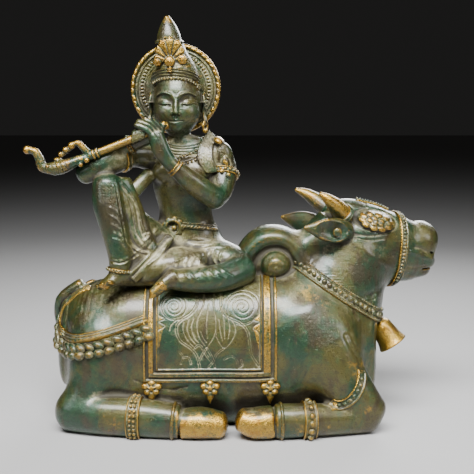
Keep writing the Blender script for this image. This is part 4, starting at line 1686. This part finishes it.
def length_property(name, description, millimetres):
    return bpy.props.FloatProperty(name=name, description=description, default=millimetres * MM,
                                   unit="LENGTH")


def colour_property(name, description, *colour):
    return bpy.props.FloatVectorProperty(
        name=name, description=description, default=(*colour, 1), subtype="COLOR", size=4)


class BronzeSettings(bpy.types.PropertyGroup):
    """Sizes and colours that a user would change."""

    collar_width: length_property("Collar Width", "Width of the bull's collar", 9.4)
    strap_width: length_property("Rump Strap Width", "Width of the strap round the rump", 6.4)
    bracelet_width: length_property("Bracelet Width", "Width of the bull's bracelets", 9.2)
    bell_length: length_property("Bell Length", "Length of the bell's wall", 20)
    bell_radius: length_property("Bell Radius", "Radius at the bell's mouth", 10.3)
    halo_radius: length_property("Halo Radius", "Radius of the halo", 32)
    green: colour_property("Green Patina", "The dark green of the patina", 0.012, 0.042, 0.018)
    olive: colour_property("Olive Patina", "The olive brown patches", 0.074, 0.064, 0.013)
    teal: colour_property("Teal Patina", "The bluish green patches", 0.026, 0.080, 0.028)
    umber: colour_property("Umber", "The brown runs in the patina", 0.042, 0.026, 0.01)
    dust: colour_property("Dust", "The pale film in the carving", 0.43, 0.38, 0.21)
    grime: colour_property("Grime", "The dark dirt in the deepest places", 0.012, 0.009, 0.006)
    brass: colour_property("Brass", "The rubbed metal", 0.47, 0.285, 0.042)
    ochre: colour_property("Ochre", "The duller gold", 0.32, 0.16, 0.02)

    def colours(self):
        names = ("green", "olive", "teal", "umber", "dust", "grime", "brass", "ochre")
        return {name: tuple(getattr(self, name)) for name in names}


def settings():
    return bpy.context.scene.bronze_group


def drawn(name):
    """A size from the panel in drawn millimetres, without what a property's storage rounds off."""
    return round(getattr(settings(), name) / MM, 4)


def materials():
    """The patina and the rubbed brass, made once."""
    found = bpy.data.materials.get("old_patina")
    if not found:
        found = bronze("old_patina", settings().colours(), 0.0, 0.25)
        bronze("old_brass", settings().colours(), 0.26, 0.28)
    return found, bpy.data.materials["old_brass"]


FLOOR_HALF = 6.0
AIM_HEIGHT = 130  # the height that the camera and the lamps look at, in drawn millimetres
CAMERA_ELEVATION, CAMERA_DISTANCE = 8, 680  # in degrees and drawn millimetres
SENSOR_WIDTH, FOCAL_PIXELS, PICTURE_PIXELS = 36, 956, 474


class MakeStage(bpy.types.Operator):
    """Builds the floor, the lights and the camera"""

    bl_idname = "bronze.stage"
    bl_label = "Stage"

    def execute(self, context):
        target = Vector((0, 0, AIM_HEIGHT * MM))
        self.floor()
        self.world()
        self.lamps(target)
        self.camera(target)
        return {"FINISHED"}

    def placed(self, name, data, place, target=None):
        """An object in the scene, which may look at a target."""
        made = bpy.data.objects.new(name, data)
        bpy.context.scene.collection.objects.link(made)
        made.location = place
        if target:
            made.rotation_euler = (target - Vector(place)).to_track_quat("-Z", "Y").to_euler()
        return made

    def floor(self):
        mesh = bpy.data.meshes.new("floor")
        corners = [(x * FLOOR_HALF, y * FLOOR_HALF, -0.0005) for x, y in ((-1, -1), (1, -1), (1, 1), (-1, 1))]
        mesh.from_pydata(corners, [], [(0, 1, 2, 3)])
        pale = bpy.data.materials.new("floor_paint")
        pale.use_nodes = True
        paint = pale.node_tree.nodes["Principled BSDF"]
        paint.inputs["Base Color"].default_value = (0.42, 0.41, 0.40, 1)
        paint.inputs["Roughness"].default_value = 0.8
        mesh.materials.append(pale)
        self.placed("floor", mesh, (0, 0, 0))

    def world(self):
        scene = bpy.context.scene
        world = scene.world or bpy.data.worlds.new("studio")
        scene.world = world
        world.use_nodes = True
        back = world.node_tree.nodes["Background"]
        back.inputs["Color"].default_value = (0.9, 0.88, 0.85, 1)
        back.inputs["Strength"].default_value = 0.015

    def lamps(self, target):
        for name, place, wide, deep, power in (
                ("key", (-0.10, -0.62, 0.92), 0.9, 0.40, 9.5), ("left", (-0.9, -0.75, 0.45), 0.35, 0.5, 0.4),
                ("right", (0.95, -0.65, 0.60), 0.4, 0.5, 1.0), ("back", (0.35, 1.0, 0.62), 0.8, 0.4, 3.0)):
            light = bpy.data.lights.new(name, "AREA")
            light.shape, light.size, light.size_y, light.energy = "RECTANGLE", wide, deep, power
            light.color, light.spread = (0.96, 0.98, 1.0), math.radians(80)
            self.placed(name, light, place, target)

    def camera(self, target):
        elevation = math.radians(CAMERA_ELEVATION)
        away = CAMERA_DISTANCE * MM * Vector((0, -math.cos(elevation), math.sin(elevation)))
        camera = self.placed("camera", bpy.data.cameras.new("camera"), target + away, target)
        camera.data.sensor_width = SENSOR_WIDTH
        camera.data.lens = SENSOR_WIDTH * FOCAL_PIXELS / PICTURE_PIXELS
        bpy.context.scene.camera = camera


class BronzePanel(bpy.types.Panel):
    """Lists the pieces of the bronze group"""

    bl_idname = "BRONZE_PT_pieces"
    bl_label = "Flute Player on a Bull"
    bl_space_type = "VIEW_3D"
    bl_region_type = "UI"
    bl_category = "Bronze"

    def draw(self, context):
        for name in BronzeSettings.__annotations__:
            self.layout.prop(settings(), name)
        for operator in OPERATORS:
            self.layout.operator(operator.bl_idname)


OPERATORS = (MakeBull, MakeSaddleCloth, MakeHarness, MakePlayer, MakeJewellery, MakeFlute, MakeStage)
CLASSES = (BronzeSettings, *OPERATORS, BronzePanel)


def register():
    for each in CLASSES:
        bpy.utils.register_class(each)
    bpy.types.Scene.bronze_group = bpy.props.PointerProperty(type=BronzeSettings)


def unregister():
    del bpy.types.Scene.bronze_group
    for each in reversed(CLASSES):
        bpy.utils.unregister_class(each)


def main():
    register()
    for operator in OPERATORS:
        group, name = operator.bl_idname.split(".")
        getattr(getattr(bpy.ops, group), name)()


if __name__ == "__main__":
    main()
